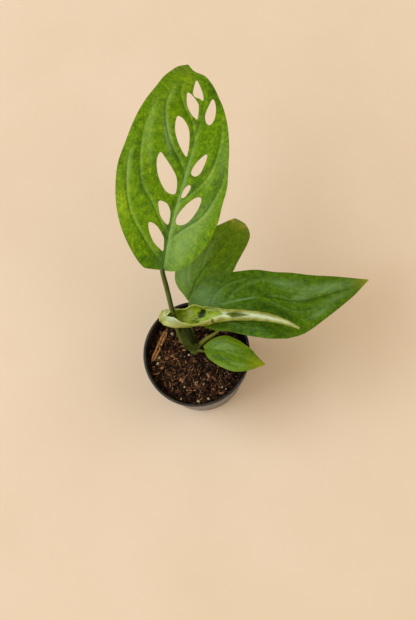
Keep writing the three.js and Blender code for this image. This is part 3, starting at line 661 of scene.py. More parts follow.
class Shader:
    """A material whose nodes are added by short calls. A value is a number, a colour or a node's output."""

    def __init__(self, name):
        self.material = bpy.data.materials.new(name)
        self.material.use_nodes = True
        self.tree = self.material.node_tree
        self.surface = self.tree.nodes["Principled BSDF"]

    def put(self, socket, value):
        if isinstance(value, bpy.types.NodeSocket):
            self.tree.links.new(value, socket)
        else:
            socket.default_value = value

    def node(self, kind, inputs=None, **settings):
        made = self.tree.nodes.new(kind)
        for name, value in settings.items():
            setattr(made, name, value)
        for name, value in (inputs or {}).items():
            self.put(made.inputs[name], value)
        return made

    def flat_place(self):
        return self.node("ShaderNodeUVMap", uv_map=FLAT_MAP).outputs[0]

    def place(self):
        return self.node("ShaderNodeTexCoord").outputs["Object"]

    def stretched(self, place, scale):
        return self.node("ShaderNodeMapping", {"Vector": place, "Scale": scale}).outputs[0]

    def noise(self, place, scale, detail=4.0, roughness=0.55, distortion=0.0):
        inputs = {"Vector": place, "Scale": scale, "Detail": detail, "Roughness": roughness}
        return self.node("ShaderNodeTexNoise", {**inputs, "Distortion": distortion}).outputs[0]

    def cells(self, place, scale, feature="DISTANCE_TO_EDGE"):
        inputs = {"Vector": place, "Scale": scale}
        return self.node("ShaderNodeTexVoronoi", inputs, feature=feature).outputs[0]

    def wavered(self, place, scale, amount):
        """A place moved about a little by noise, so that what is drawn there is less regular."""
        shift = self.node("ShaderNodeTexNoise", {"Vector": place, "Scale": scale, "Detail": 2.0}).outputs[1]
        moved = self.node("ShaderNodeVectorMath", operation="MULTIPLY_ADD")
        for socket, value in zip(moved.inputs, (shift, (amount, amount, amount), place)):
            self.put(socket, value)
        return moved.outputs[0]

    def value(self, name):
        return self.node("ShaderNodeAttribute", attribute_name=name).outputs["Fac"]

    def math(self, operation, first, second):
        made = self.node("ShaderNodeMath", operation=operation)
        self.put(made.inputs[0], first)
        self.put(made.inputs[1], second)
        return made.outputs[0]

    def times(self, first, second):
        return self.math("MULTIPLY", first, second)

    def plus(self, first, second):
        return self.math("ADD", first, second)

    def blend(self, first, second, share):
        """A share of one value and the rest of another."""
        return self.plus(self.times(first, share), self.times(second, 1 - share))

    def band(self, value, low, high):
        """1 at low, falling smoothly to 0 at high; or rising, where low is above high."""
        inputs = {"Value": value, "From Min": low, "From Max": high, "To Min": 1.0, "To Max": 0.0}
        return self.node("ShaderNodeMapRange", inputs, interpolation_type="SMOOTHSTEP").outputs[0]

    def spread(self, value, low, high):
        """A value from 0 to 1 moved to between low and high."""
        inputs = {"Value": value, "To Min": low, "To Max": high}
        return self.node("ShaderNodeMapRange", inputs).outputs[0]

    def ramp(self, value, stops):
        made = self.node("ShaderNodeValToRGB", {"Fac": value})
        bar = made.color_ramp.elements
        while len(bar) < len(stops):
            bar.new(1)
        for element, (position, eye) in zip(bar, stops):
            element.position = position
            element.color = colour(eye)
        return made.outputs[0]

    def mix(self, share, first, second):
        made = self.node("ShaderNodeMix", data_type="RGBA")
        self.put(made.inputs[0], share)
        for index, value in ((6, first), (7, second)):
            self.put(made.inputs[index], colour(value) if isinstance(value, tuple) else value)
        return made.outputs[2]

    def bump(self, height, strength, distance, normal=None):
        inputs = {"Height": height, "Strength": strength, "Distance": distance * MM}
        if normal is not None:
            inputs["Normal"] = normal
        return self.node("ShaderNodeBump", inputs).outputs[0]

    def finish(self, **inputs):
        """Sets the surface's inputs, named with _ for a space, and returns the material."""
        for name, value in inputs.items():
            self.put(self.surface.inputs[name.replace("_", " ")], value)
        return self.material


def colour(eye):
    """A colour given as eye values from 0 to 255, as the shader's own values."""
    share = np.array(eye) / 255
    light = np.where(share <= 0.04045, share / 12.92, ((share + 0.055) / 1.055) ** 2.4)
    return (*light.tolist(), 1)


def blade_material(name, dark, middle, light, vein, pale, ripe, edging, contrast):
    """The upper face of a blade: mottled green, a net of small veins, main veins, a painted sheen, painted
    light and shade by the midrib, and a fine margin.
    """
    s = Shader(name)
    flat = s.flat_place()
    cloud = s.noise(flat, 16.0, 5.0, 0.6, 0.4)
    mottle = s.noise(s.stretched(flat, (1.5, 1.0, 1.0)), 44.0, 6.0, 0.68, 0.8)
    grain = s.noise(flat, 300.0, 3.0)
    shifted = s.plus(s.blend(cloud, mottle, 0.5), s.times(s.value("tone"), 0.13))
    tint = s.ramp(shifted, [(0.5 - contrast, dark), (0.5, middle), (0.5 + contrast, light)])
    net = s.band(s.cells(s.stretched(s.wavered(flat, 20.0, 0.05), (1.0, 0.6, 1.0)), 26.0), 0.0, 0.1)
    shown = s.times(net, s.spread(cloud, 0.05, 0.6))
    tint = s.mix(shown, tint, vein)
    # Painted sheen: the pale colour laid where the sheen values are, as a painted highlight
    tint = s.mix(s.times(s.value("sheen"), s.spread(mottle, 0.25, 1.15)), tint, pale)
    # Main veins: their own darker green and painted shade in their grooves
    tint = s.mix(s.times(s.band(s.value("vein"), 0.0, 1.3), s.value("line")), tint, vein)
    # Painted shade along the midrib, and a painted highlight where its listed light is above 0
    rib = s.band(s.value("rib"), 0.0, 1.25)
    tint = s.mix(s.times(rib, s.value("rib_painted_shade")), tint, vein)
    tint = s.mix(s.times(rib, s.value("rib_painted_highlight")), tint, pale)
    tint = s.mix(s.times(s.band(s.value("edge"), 0.0, 0.9), 0.5), tint, edging)
    tint = s.mix(s.value("ripe"), tint, ripe)
    rough = s.spread(s.blend(mottle, grain, 0.6), 0.34, 0.56)
    normal = s.bump(s.math("SUBTRACT", mottle, s.times(shown, 0.7)), 0.6, 0.4)
    normal = s.bump(grain, 0.18, 0.08, normal)
    return s.finish(Base_Color=tint, Roughness=rough, Normal=normal, Specular_IOR_Level=0.09)


def underside_material(name, dark, light):
    """The lower face of a blade: paler and matt, with its net and its midrib paler still."""
    s = Shader(name)
    flat = s.flat_place()
    mottle = s.noise(flat, 30.0, 5.0, 0.6)
    net = s.band(s.cells(flat, 75.0), 0.0, 0.1)
    tint = s.mix(s.times(net, 0.35), s.ramp(mottle, [(0.35, dark), (0.65, light)]), light)
    tint = s.mix(s.times(s.band(s.value("rib"), 0.6, 2.0), 0.6), tint, light)
    normal = s.bump(s.plus(net, mottle), 0.4, 0.2)
    return s.finish(Base_Color=tint, Roughness=s.spread(mottle, 0.5, 0.7), Normal=normal)


def stalk_material(name, dark, light, speck):
    """Smooth stalk skin with fine lengthwise streaks and small specks. Its map runs along the stalk in y."""
    s = Shader(name)
    flat = s.flat_place()
    streak = s.noise(s.stretched(flat, (26.0, 1.4, 1.0)), 9.0, 5.0, 0.6)
    cloud = s.noise(flat, 14.0, 4.0)
    shifted = s.plus(s.blend(streak, cloud, 0.6), s.times(s.value("tone"), 0.16))
    tint = s.ramp(shifted, [(0.36, dark), (0.64, light)])
    specks = s.band(s.cells(flat, 110.0, "F1"), 0.1, 0.32)
    patch = s.band(s.noise(flat, 22.0, 3.0), 0.62, 0.5)
    tint = s.mix(s.times(specks, s.times(patch, 0.55)), tint, speck)
    rough = s.spread(streak, 0.32, 0.52)
    normal = s.bump(streak, 0.35, 0.25)
    return s.finish(Base_Color=tint, Roughness=rough, Normal=normal, Specular_IOR_Level=0.2)


def new_leaf_material(name, dark, middle, light, pale):
    """Young leaf skin: soft clouds, faint lengthwise lines, tone with some painted shade, and a painted pale
    sheen where it faces up.
    """
    s = Shader(name)
    flat = s.flat_place()
    cloud = s.noise(flat, 13.0, 5.0, 0.6, 0.5)
    lines = s.noise(s.stretched(flat, (4.0, 0.8, 1.0)), 26.0, 4.0, 0.6, 0.6)
    fine = s.noise(s.stretched(flat, (3.0, 1.0, 1.0)), 120.0, 4.0)
    shifted = s.plus(s.blend(cloud, lines, 0.65), s.times(s.value("tone"), 0.15))
    tint = s.ramp(shifted, [(0.32, dark), (0.48, middle), (0.64, light)])
    # Painted highlight: the pale colour where the sheen values are
    tint = s.mix(s.times(s.value("sheen"), s.spread(cloud, 0.35, 1.2)), tint, pale)
    rough = s.spread(fine, 0.3, 0.5)
    normal = s.bump(fine, 0.2, 0.1, s.bump(lines, 0.35, 0.3))
    return s.finish(Base_Color=tint, Roughness=rough, Normal=normal, Specular_IOR_Level=0.3)


def pot_material():
    """Black moulded plastic with a fine orange-peel skin, hair scratches and a film of dust."""
    s = Shader("black_plastic")
    place = s.place()
    skin = s.noise(place, 900.0, 3.0)
    film = s.noise(place, 45.0, 5.0, 0.6)
    scratch = s.band(s.cells(s.stretched(place, (60.0, 60.0, 700.0)), 1.0), 0.0, 0.03)
    tint = s.mix(s.band(film, 0.75, 0.4), (24, 20, 17), (62, 52, 41))
    tint = s.mix(s.times(scratch, 0.25), tint, (84, 80, 74))
    rough = s.plus(s.spread(film, 0.2, 0.4), s.times(scratch, 0.15))
    normal = s.bump(skin, 0.12, 0.08)
    return s.finish(Base_Color=tint, Roughness=rough, Normal=normal, Specular_IOR_Level=0.6)


def crumb_material(name, dark, middle, light, roughness):
    """Soil, bark, coir or perlite: each bit has a tone of its own, under a fine grain."""
    s = Shader(name)
    grain = s.noise(s.place(), 1100.0, 6.0, 0.7)
    tint = s.ramp(s.blend(s.value("tone"), grain, 0.55), [(0.2, dark), (0.5, middle), (0.8, light)])
    rough = s.spread(grain, roughness - 0.12, roughness + 0.05)
    normal = s.bump(grain, 0.9, 0.6)
    return s.finish(Base_Color=tint, Roughness=rough, Normal=normal, Specular_IOR_Level=0.12)


class Blade:
    """The surface of one leaf blade."""

    def __init__(self, spec):
        self.spec = spec
        self.curve = Curve(spec["midrib"])
        self.length = self.curve.length
        self.half_width = max(abs(x) for x, _ in spec["left"])
        self.across = [unit(np.array(direction, float)) for direction in spec["across"]]
        spacing = spec["spacing"]
        self.veins = [even_line(Curve(vein), spacing * 0.9) for vein in spec["veins"]]
        left = Curve(spec["left"]).at(np.linspace(0, 1, 400))
        right = Curve(spec["right"]).at(np.linspace(0, 1, 400))
        left[:, 0] -= MARGIN_GROWTH
        right[:, 0] += MARGIN_GROWTH
        self.outline = even_loop(np.vstack([left, right[::-1]]), spacing)
        self.holes = [closed_curve(hole, spacing * 0.7) for hole in spec["holes"]]

    def rise(self, x, y):
        fold = self.spec["fold"] * (np.hypot(x, VALLEY_RADIUS) - VALLEY_RADIUS)
        height, waves, shift = self.spec["ripple"]
        wave = np.sin(2 * math.pi * waves * y / self.length + np.sign(x) * shift)
        return fold - self.spec["cup"] * x * x + height * (x / self.half_width) ** 2 * wave

    def place(self, flat, raised):
        """Where flat points lie in space when raised by given heights, and the direction up from each."""
        x, y = flat[:, 0], flat[:, 1]
        within = np.clip(y, 0, self.length)
        along = self.curve.tangent_at_length(within)
        points = self.curve.at_length(within) + along * (y - within)[:, None]
        share = (within / self.length)[:, None]
        sideways = unit(self.across[0] * (1 - share) + self.across[1] * share)
        up = unit(np.cross(sideways, along))
        return points + sideways * x[:, None] + up * (self.rise(x, y) + raised)[:, None], up


def nearest(points, lines):
    """For flat points: the distance from the nearest line, if they are right of it, and its strength."""
    best = np.full(len(points), 1e9)
    right = np.zeros(len(points), bool)
    strength = np.zeros(len(points))
    fade_in, fade_out = VEIN_FADES
    for line in lines:
        gap, side, place = distance_to(points, line)
        closer = gap < best
        best = np.where(closer, gap, best)
        right = np.where(closer, side < 0, right)
        ends = np.clip(np.minimum(place / fade_in, (1 - place) / fade_out), 0, 1)
        strength = np.where(closer, ends, strength)
    return best, right, strength


def puffed(distance, right, shapes):
    """The height of the flesh beside a line, from its shape to the right and to the left of the line."""
    sides = [height * hill(distance - away, reach) for away, reach, height in shapes]
    return np.where(right, *sides)


def hill(distance, reach):
    return np.exp(-((distance / reach) ** 2))


def patch_values(flat, patches):
    """The tone, sheen and ripeness that soft-edged patches give to flat points."""
    totals = np.zeros((3, len(flat)))
    for x, y, length, width, lean, *amounts in patches:
        turn = math.radians(lean)
        dx, dy = flat[:, 0] - x, flat[:, 1] - y
        along = dy * math.cos(turn) - dx * math.sin(turn)
        aside = dx * math.cos(turn) + dy * math.sin(turn)
        totals += np.outer(amounts, hill(along, length) * hill(aside, width))
    return totals


def wrinkles(flat, size):
    """A soft unevenness, in hollows longer than they are wide."""
    return size * np.array([noise.fractal(Vector((x / 7, y / 12, size)), 0.9, 2.1, 3) for x, y in flat])


def leaf_piece(name, upper, lower):
    """A blade: a fine net over its outline, raised along its veins, with the ridge of its midrib below."""
    spec = LEAVES[name]
    blade = Blade(spec)
    midline = np.array([(0, y) for y in np.arange(0.6, blade.length - 1, spec["spacing"] * 0.9)])
    flat, faces = flat_net(blade.outline, blade.holes, spec["spacing"], [midline, *blade.veins])
    loops = [blade.outline, *blade.holes]
    edge = np.min([distance_to(flat, closed(loop))[0] for loop in loops], axis=0)
    vein, right, strength = nearest(flat, blade.veins)
    x, rib = flat[:, 0], np.abs(flat[:, 0])
    fade = 1 - hill(edge, MARGIN_REACH)
    relief = strength * (puffed(vein, right, VEIN_PUFFS) - VEIN_GROOVE * hill(vein, 0.9))
    relief += puffed(rib, x > 0, RIB_PUFFS) - RIB_GROOVE * hill(rib, 1)
    relief = (spec["relief"] * relief + wrinkles(flat, spec["wrinkle"])) * fade
    top, up = blade.place(flat, relief - MARGIN_DROP * hill(edge, 1.2))
    taper = np.clip(1 - flat[:, 1] / blade.length, 0, 1)
    ridge = MIDRIB_HEIGHT * taper * hill(rib, MIDRIB_WIDTH)
    thickness = BLADE_THICKNESS * (0.55 + 0.45 * fade)
    bottom = top - up * (thickness + ridge)[:, None]
    # Patch tone is partly the leaf's own colour and partly painted shade and light; patch sheen is a painted
    # highlight
    tone, sheen, ripe = patch_values(flat, spec["patches"])
    # The midrib's painted light: above 0 a painted highlight, below 0 painted shade
    midrib = value_along(spec["midrib_painted_light"], flat[:, 1] / blade.length)
    # Painted highlight on the slope right of each vein
    lit = 0.3 * spec["relief"] * strength * right * hill(vein - 2, 1.3)
    made = two_sided(f"blade_{name}", top, bottom, faces.tolist(), border_of(faces), flat, {
        "vein": vein,
        # Strength of each main vein's dark line: its own darker green and painted shade in its groove
        "line": spec["vein_line"] * strength,
        "rib": np.abs(x + RIB_SHADE),
        "edge": edge,
        "ripe": np.clip(ripe, 0, 1),
        "rib_painted_shade": np.clip(-midrib, 0, 1),
        "rib_painted_highlight": np.clip(midrib, 0, 1),
        # Tone: the patches, with painted light right of each vein and painted shade left of it
        "tone": tone + spec["vein_line"] * strength * (right - 0.4) * hill(vein - 2, 2),
        "sheen": np.clip(sheen + lit, 0, 1),
    })
    return finish_piece(made, [upper, lower], "leaf", f"leaf_{name}")


def build_blades():
    """Each blade's colours are dark, middle, light, vein, pale for the painted sheen, ripe and edging. Their
    spread comes last.
    """
    under = underside_material("blade_underside", (104, 132, 54), (136, 158, 88))
    looks = {
        "large": ("blade_green", (60, 92, 0), (100, 136, 0), (142, 170, 12), (54, 84, 0),
                  (138, 168, 92), (150, 140, 20), (104, 126, 0), 0.16),
        "back": ("blade_mid_green", (60, 94, 0), (95, 126, 6), (124, 152, 14), (50, 72, 2),
                 (122, 152, 86), (200, 164, 50), (110, 118, 22), 0.18),
        "right": ("blade_deep", (38, 68, 0), (76, 109, 2), (106, 138, 10), (38, 60, 0),
                  (116, 148, 88), (196, 158, 40), (104, 118, 30), 0.18),
        "small": ("blade_fresh", (66, 96, 0), (98, 130, 6), (124, 152, 8), (64, 88, 4),
                  (124, 150, 82), (166, 158, 10), (128, 138, 30), 0.18),
    }
    for name, look in looks.items():
        leaf_piece(name, blade_material(*look), under)


def ring_faces(rings, sides, whole=True):
    """Faces between rings of points, or between rows of them where the rings aren't whole."""
    faces = []
    for ring in range(rings - 1):
        for side in range(sides if whole else sides - 1):
            following = (side + 1) % sides
            a, b = ring * sides + side, ring * sides + following
            faces.append((a, b, b + sides, a + sides))
    return faces


def stalk_points(stalk, start, end, steps):
    """Rings of points round part of a stalk, with the groove in its near side."""
    curve = Curve(stalk["line"])
    angles = even_angles(STALK_SIDES)
    hollow = hill(angles - GROOVE_SIDE, GROOVE_REACH)
    rings = []
    for u in np.linspace(start, end, steps):
        along = curve.tangent(u)
        right = unit(np.array([1.0, 0, 0]) - along * along[0])
        front = np.cross(along, right)
        groove = stalk["groove"] * max(0, 1 - GROOVE_FADE * u) * hollow
        reach = (value_along(stalk["radii"], u) * (1 - groove))[:, None]
        spokes = np.cos(angles)[:, None] * right + np.sin(angles)[:, None] * front
        rings.append(curve.at(u) + reach * spokes)
    return np.array(rings)


def tube_faces(count, sides):
    """The faces of a tube and of its two ends."""
    ends = [tuple(reversed(range(sides))), tuple(range((count - 1) * sides, count * sides))]
    return ring_faces(count, sides) + ends


def tube(name, rings):
    """A closed tube from rings of points, with its two ends filled."""
    return make_mesh(name, rings.reshape(-1, 3), tube_faces(*rings.shape[:2]))


def stalk_piece(name, material):
    """A stalk from inside the stem's stub to its blade, with painted light on its lit side and painted shade
    on its right.
    """
    stalk = STALKS[name]
    rings = stalk_points(stalk, stalk["stub"] * 0.9, 1, STALK_STEPS)
    made = tube(f"petiole_{name}", rings)
    lengths = np.linspace(0, Curve(stalk["line"]).length, STALK_STEPS)
    turn = np.abs(np.linspace(-1, 1, STALK_SIDES, endpoint=False)) * 8
    add_flat_map(made, np.array([(t, y) for y in lengths for t in turn]))
    around = even_angles(STALK_SIDES)
    # Painted light on the stalk's lit side and painted shade on its right
    tone = LIT_TONE * hill(around - LIT_SIDE, 0.8) - np.cos(around / 2) ** 4
    add_value(made, "tone", np.tile(tone, STALK_STEPS))
    return finish_piece(made, [material], "stem", f"stalk_{name}")


def stem_piece(material):
    """The stem, the sheath and the stubs of its stalks, melted into one body."""
    x, y = STEM_AXIS
    profile = [
        (STEM_RADIUS - 0.4, STEM_BOTTOM), (STEM_RADIUS, STEM_BOTTOM + 1), (STEM_RADIUS, 68),
        (STEM_RADIUS - 0.5, 68.6), (STEM_RADIUS - 0.4, STEM_TOP - 1.5), (1.8, STEM_TOP),
    ]
    angles = even_angles(STEM_SIDES)
    rings = [[(x + r * math.cos(a), y + r * math.sin(a), z) for a in angles] for r, z in profile]
    made = tube("stem_body", np.array(rings))
    parts = [made, tube("sheath", stalk_points(SHEATH, 0, 1, 16))]
    parts += [tube(f"stub_{key}", stalk_points(stalk, 0, stalk["stub"], 12)) for key, stalk in STALKS.items()]
    join(parts)
    melt = made.modifiers.new("melt", "REMESH")
    melt.mode = "VOXEL"
    melt.voxel_size = STEM_VOXEL * MM
    soften = made.modifiers.new("soften", "SMOOTH")
    soften.iterations = 5
    soften.factor = 0.5
    apply_modifiers(made)
    shade_smooth(made.data)
    place = np.array([v.co for v in made.data.vertices]) / MM
    around = np.arctan2(place[:, 1] - y, place[:, 0] - x) * STEM_RADIUS
    add_flat_map(made, np.stack([around, place[:, 2]], axis=1))
    # Painted shade: the stem darkens towards the sheath in the fork of the stalks
    fork = Curve(SHEATH["line"]).at(np.linspace(0.3, 1, 30))
    gap = np.linalg.norm(place[:, None] - fork, axis=2).min(axis=1)
    add_value(made, "tone", -hill(gap, SHEATH_SHADE))
    return finish_piece(made, [material], "stem", "stem")


def join(parts):
    """Joins objects into the first of them."""
    with bpy.context.temp_override(active_object=parts[0], selected_editable_objects=parts):
        bpy.ops.object.join()


def apply_modifiers(made):
    """Replaces an object's mesh by what its modifiers make of it."""
    graph = bpy.context.evaluated_depsgraph_get()
    mesh = bpy.data.meshes.new_from_object(made.evaluated_get(graph))
    made.modifiers.clear()
    made.data = mesh


def build_stalks():
    stem_piece(stalk_material("stalk_stub", (44, 56, 6), (112, 118, 50), (56, 46, 16)))
    olive = stalk_material("stalk_olive", (40, 52, 4), (102, 112, 40), (60, 54, 16))
    # The new leaf's stalk under the roll: its own green darkened with painted shade
    dark = stalk_material("stalk_dark_painted_shade", (18, 30, 0), (42, 58, 2), (20, 28, 4))
    yellow = stalk_material("stalk_yellow", (64, 68, 8), (126, 126, 40), (84, 58, 22))
    skins = {"large": olive, "back": yellow, "right": yellow, "small": yellow, "new": dark}
    for name, skin in skins.items():
        stalk_piece(name, skin)


def roll_patches(place, degrees):
    """The tone and sheen of the roll at a place in its list, round the given angles."""
    tone = np.zeros(len(degrees))
    sheen = np.zeros(len(degrees))
    for middle, angle, run, spread, more_tone, more_sheen in NEW_LEAF["patches"]:
        shape = np.exp(-(((place - middle) / run) ** 4) - ((degrees - angle) / spread) ** 4)
        tone += more_tone * shape
        sheen += more_sheen * shape
    return tone, sheen


def roll_row(curve, u):
    """One row of the roll from its near edge to its far one: outside, inside, flat map, tone and sheen."""
    along = curve.tangent(u)
    up = unit(np.array([0, 0, 1.0]) - along * along[2])
    far = np.cross(up, along)
    radius, near_edge, far_edge, flare, rim_tone, painted_sheen_along = (value_along(NEW_LEAF[key], u) for key in ROLL_KEYS)
    radius = max(radius, ROLL_LEAST_RADIUS)
    degrees = np.linspace(near_edge, far_edge, ROLL_COLUMNS)
    angles = np.radians(degrees)
    rim = hill(np.minimum(angles - angles[0], angles[-1] - angles) * radius, ROLL_RIM)
    tone, sheen = roll_patches(u * curve.spans, degrees)
    flared = flare * (np.maximum(degrees, 0) / far_edge) ** 3
    dent = ROLL_DENT * np.clip(-tone, 0, 1.6) * (degrees > 0)
    waves = ROLL_SWAY * noise.noise(Vector((u * 9, 2.0, 0))) + ROLL_RIPPLE * np.sin(3 * angles + u * 40)
    reach = radius * (1 + flared) + dent + waves * min(1, radius / 6)
    half = min(ROLL_THICKNESS, 1.4 * radius) / 2
    spokes = np.sin(angles)[:, None] * far - np.cos(angles)[:, None] * up
    outside = curve.at(u) + (reach + half)[:, None] * spokes
    lining = curve.at(u) + (reach - half)[:, None] * spokes
    flat = np.stack([radius * angles, np.full(ROLL_COLUMNS, u * curve.length)], axis=1)
    # Painted highlight on the upper half of the roll, where it faces the camera
    turn = (degrees - ROLL_FACING + 180) % 360 - 180
    facing = painted_sheen_along * hill(turn, ROLL_SHEEN) * (np.abs(degrees) > 100)
    return outside, lining, flat, tone + rim * rim_tone, np.clip(sheen + facing, 0, 1)


def new_leaf_piece():
    """The rolled blade: one open sheet with a pale outside and a green inside."""
    curve = Curve(NEW_LEAF["line"])
    rows = [roll_row(curve, u) for u in np.linspace(0, 1, ROLL_ROWS)]
    outside, lining, flat, tone, sheen = (np.concatenate(parts) for parts in zip(*rows))
    skin = ring_faces(ROLL_ROWS, ROLL_COLUMNS, whole=False)
    border = border_of([half for a, b, c, d in skin for half in ((a, b, c), (a, c, d))])
    made = two_sided("rolled_blade", outside, lining, skin, border, flat, {"tone": tone, "sheen": sheen})
    looks = {
        "new_leaf_outside": ((84, 92, 14), (144, 149, 58), (178, 184, 92), (222, 232, 200)),
        "new_leaf_inside": ((34, 52, 4), (154, 176, 36), (188, 200, 74), (212, 218, 160)),
    }
    skins = [new_leaf_material(name, *look) for name, look in looks.items()]
    return finish_piece(made, skins, "new_leaf", "leaf_new")


def wall_radius(z):
    return BASE_RADIUS + (WALL_TOP_RADIUS - BASE_RADIUS) * z / (POT_HEIGHT - RIM_DEPTH)


def rounded(corners, radius, steps=4):
    """A profile with each inner corner replaced by a short arc-like curve."""
    found = [corners[0]]
    for before, corner, after in zip(corners, corners[1:], corners[2:]):
        a, b, c = (np.array(p, float) for p in (before, corner, after))
        cut = min(radius, np.linalg.norm(a - b) / 2.2, np.linalg.norm(c - b) / 2.2)
        start, end = b + unit(a - b) * cut, b + unit(c - b) * cut
        for t in np.linspace(0, 1, steps + 1):
            found.append(tuple((1 - t) ** 2 * start + 2 * t * (1 - t) * b + t * t * end))
    return [*found, corners[-1]]


def pot_piece():
    """The pot: a turned shell with a rim band, a raised foot and drain holes."""
    ledge = POT_HEIGHT - RIM_DEPTH
    corners = [
        (0, 0), (FOOT_RADIUS, 0), (FOOT_RADIUS + CHANNEL_DEPTH, CHANNEL_DEPTH),
        (FOOT_RING_RADIUS - CHANNEL_DEPTH, CHANNEL_DEPTH), (FOOT_RING_RADIUS, 0), (BASE_RADIUS, 0),
        (WALL_TOP_RADIUS, ledge), (RIM_RADIUS, ledge), (RIM_RADIUS, POT_HEIGHT),
        (RIM_RADIUS - RIM_WALL, POT_HEIGHT), (WALL_TOP_RADIUS - POT_WALL, ledge),
        (wall_radius(POT_FLOOR) - POT_WALL, POT_FLOOR), (0, POT_FLOOR),
    ]
    inner = rounded(corners, POT_CORNER)[1:-1]
    angles = even_angles(POT_SIDES)
    points = [(r * math.cos(a), r * math.sin(a), z) for r, z in inner for a in angles]
    faces = [tuple(reversed(f)) for f in ring_faces(len(inner), POT_SIDES)]
    bottom, top = len(points), len(points) + 1
    last = (len(inner) - 1) * POT_SIDES
    for k in range(POT_SIDES):
        following = (k + 1) % POT_SIDES
        faces.append((following, k, bottom))
        faces.append((last + k, last + following, top))
    points += [(0, 0, 0), (0, 0, POT_FLOOR)]
    made = make_mesh("nursery_pot", points, faces)
    turn_out(made)
    drill = drain_drill()
    cut = made.modifiers.new("drain", "BOOLEAN")
    cut.operation = "DIFFERENCE"
    cut.solver = "EXACT"
    cut.object = drill
    apply_modifiers(made)
    bpy.data.objects.remove(drill)
    keep_creases(made)
    return finish_piece(made, [pot_material()], "pot", "pot")


def drain_drill():
    """One object of upright rods, where the drain holes go."""
    around = even_angles(DRAIN_SIDES)
    circle = np.stack([DRAIN_RADIUS * np.cos(around), DRAIN_RADIUS * np.sin(around), 0 * around], axis=1)
    distance = (FOOT_RADIUS + FOOT_RING_RADIUS) / 2
    drills = []
    for hole in range(DRAIN_HOLES):
        angle = hole / DRAIN_HOLES * 2 * math.pi
        centre = np.array([distance * math.cos(angle), distance * math.sin(angle), 0])
        drills.append(tube(f"drill_{hole}", np.array([centre + circle + (0, 0, z) for z in (-3, 6)])))
    join(drills)
    return drills[0]


def turn_out(made):
    """Turns every face of a closed mesh outwards."""
    body = bmesh.new()
    body.from_mesh(made.data)
    bmesh.ops.recalc_face_normals(body, faces=body.faces)
    body.to_mesh(made.data)
    body.free()


def keep_creases(made):
    """Shades a mesh smoothly apart from its sharper edges."""
    shade_smooth(made.data)
    made.data.set_sharp_from_angle(angle=math.radians(CREASE_ANGLE))


def soil_height(x, y):
    """The packed soil's surface, which the fine bed follows."""
    waves = np.sin(0.31 * x + 0.17 * y + 0.6) + np.sin(0.23 * y - 0.37 * x + 2.1)
    grain = np.sin(0.9 * x + 1.3) * np.sin(0.8 * y + 0.4)
    return SOIL_TOP + 0.8 * (0.6 * waves + 0.7 * grain) - 1.5 * (np.hypot(x, y) / WALL_TOP_RADIUS) ** 4


def rough_height(x, y):
    """The soil's surface with its crumbs and clods."""
    crumbs = noise.fractal(Vector((x / 3.2, y / 3.2, 0.3)), 1.0, 2.2, 5)
    clods = noise.noise(Vector((x / 7, y / 7, 5.1)))
    return float(soil_height(x, y)) - SOIL_SINK + CRUMB_HEIGHT * crumbs + CLOD_HEIGHT * clods


def soil_bed(material):
    """The packed soil: a fine rough top, a wall round it and a closed underside."""
    angles = even_angles(SOIL_SIDES)
    outline = SOIL_RADIUS * np.stack([np.cos(angles), np.sin(angles)], axis=1)
    flat, faces = flat_net(outline, [], SOIL_SPACING)
    border = border_of(faces)
    rim = sorted({a for a, _ in border})
    below = {a: len(flat) + k for k, a in enumerate(rim)}
    points = [(x, y, rough_height(x, y)) for x, y in flat]
    points += [(*(SOIL_TAPER * flat[a]), SOIL_BOTTOM) for a in rim]
    points.append((0, 0, SOIL_BOTTOM))
    lowest = len(points) - 1
    walls = [(b, a, below[a], below[b]) for a, b in border]
    under = [(below[b], below[a], lowest) for a, b in border]
    made = make_mesh("soil_bed", points, [*faces.tolist(), *walls, *under])
    add_value(made, "tone", [0.45 + 0.6 * noise.fractal(Vector(p) * 0.5, 0.8, 2.2, 4) for p in points])
    return finish_piece(made, [material], "soil", "soil")


def bark_strip(material):
    """A split piece of bark that lies along the rim on the left, as two ridges with a crack between them."""
    rng = random.Random(SEED + 9)
    along = np.array([math.cos(BARK_ANGLE), math.sin(BARK_ANGLE), 0])
    aside = np.array([-along[1], along[0], 0])
    rings = []
    for t in np.linspace(-0.5, 0.5, BARK_STEPS):
        taper = min(1, 6 * (0.5 - abs(t)) + 0.25)
        x, y, _ = np.array([*BARK_PLACE, 0]) + along * t * BARK_LENGTH
        middle = np.array([x, y, rough_height(x, y) + BARK_LIFT + 0.5 * math.sin(7 * t)])
        shift = 0.12 * rng.uniform(-1, 1)
        ring = []
        for side, height in BARK_SECTION:
            rough = 1 + 0.12 * rng.uniform(-1, 1)
            offset = aside * (side * BARK_WIDTH / 2 * taper * rough + shift)
            ring.append(middle + offset + (0, 0, height * taper * rough))
        rings.append(ring)
    made = tube("soil_bark_strip", np.array(rings))
    bright = [0.35 + 0.5 * (height > 0.8) for _, height in BARK_SECTION]
    add_value(made, "tone", [tone + 0.2 * rng.uniform(-1, 1) for _ in rings for tone in bright])
    return finish_piece(made, [material], "soil")


def crumb_shape(level):
    """The corners and faces of a ball of triangles."""
    body = bmesh.new()
    bmesh.ops.create_icosphere(body, subdivisions=level, radius=1)
    corners = np.array([v.co for v in body.verts])
    faces = np.array([[v.index for v in f.verts] for f in body.faces])
    body.free()
    return corners, faces


def turned(rng, flatness=1.0):
    """A random turn, mostly about the upright when flatness is small."""
    lean = Matrix.Rotation(flatness * rng.uniform(-1.4, 1.4), 3, "X")
    roll = Matrix.Rotation(flatness * rng.uniform(-1.4, 1.4), 3, "Y")
    spin = Matrix.Rotation(rng.uniform(0, 2 * math.pi), 3, "Z")
    return np.array(spin @ roll @ lean)


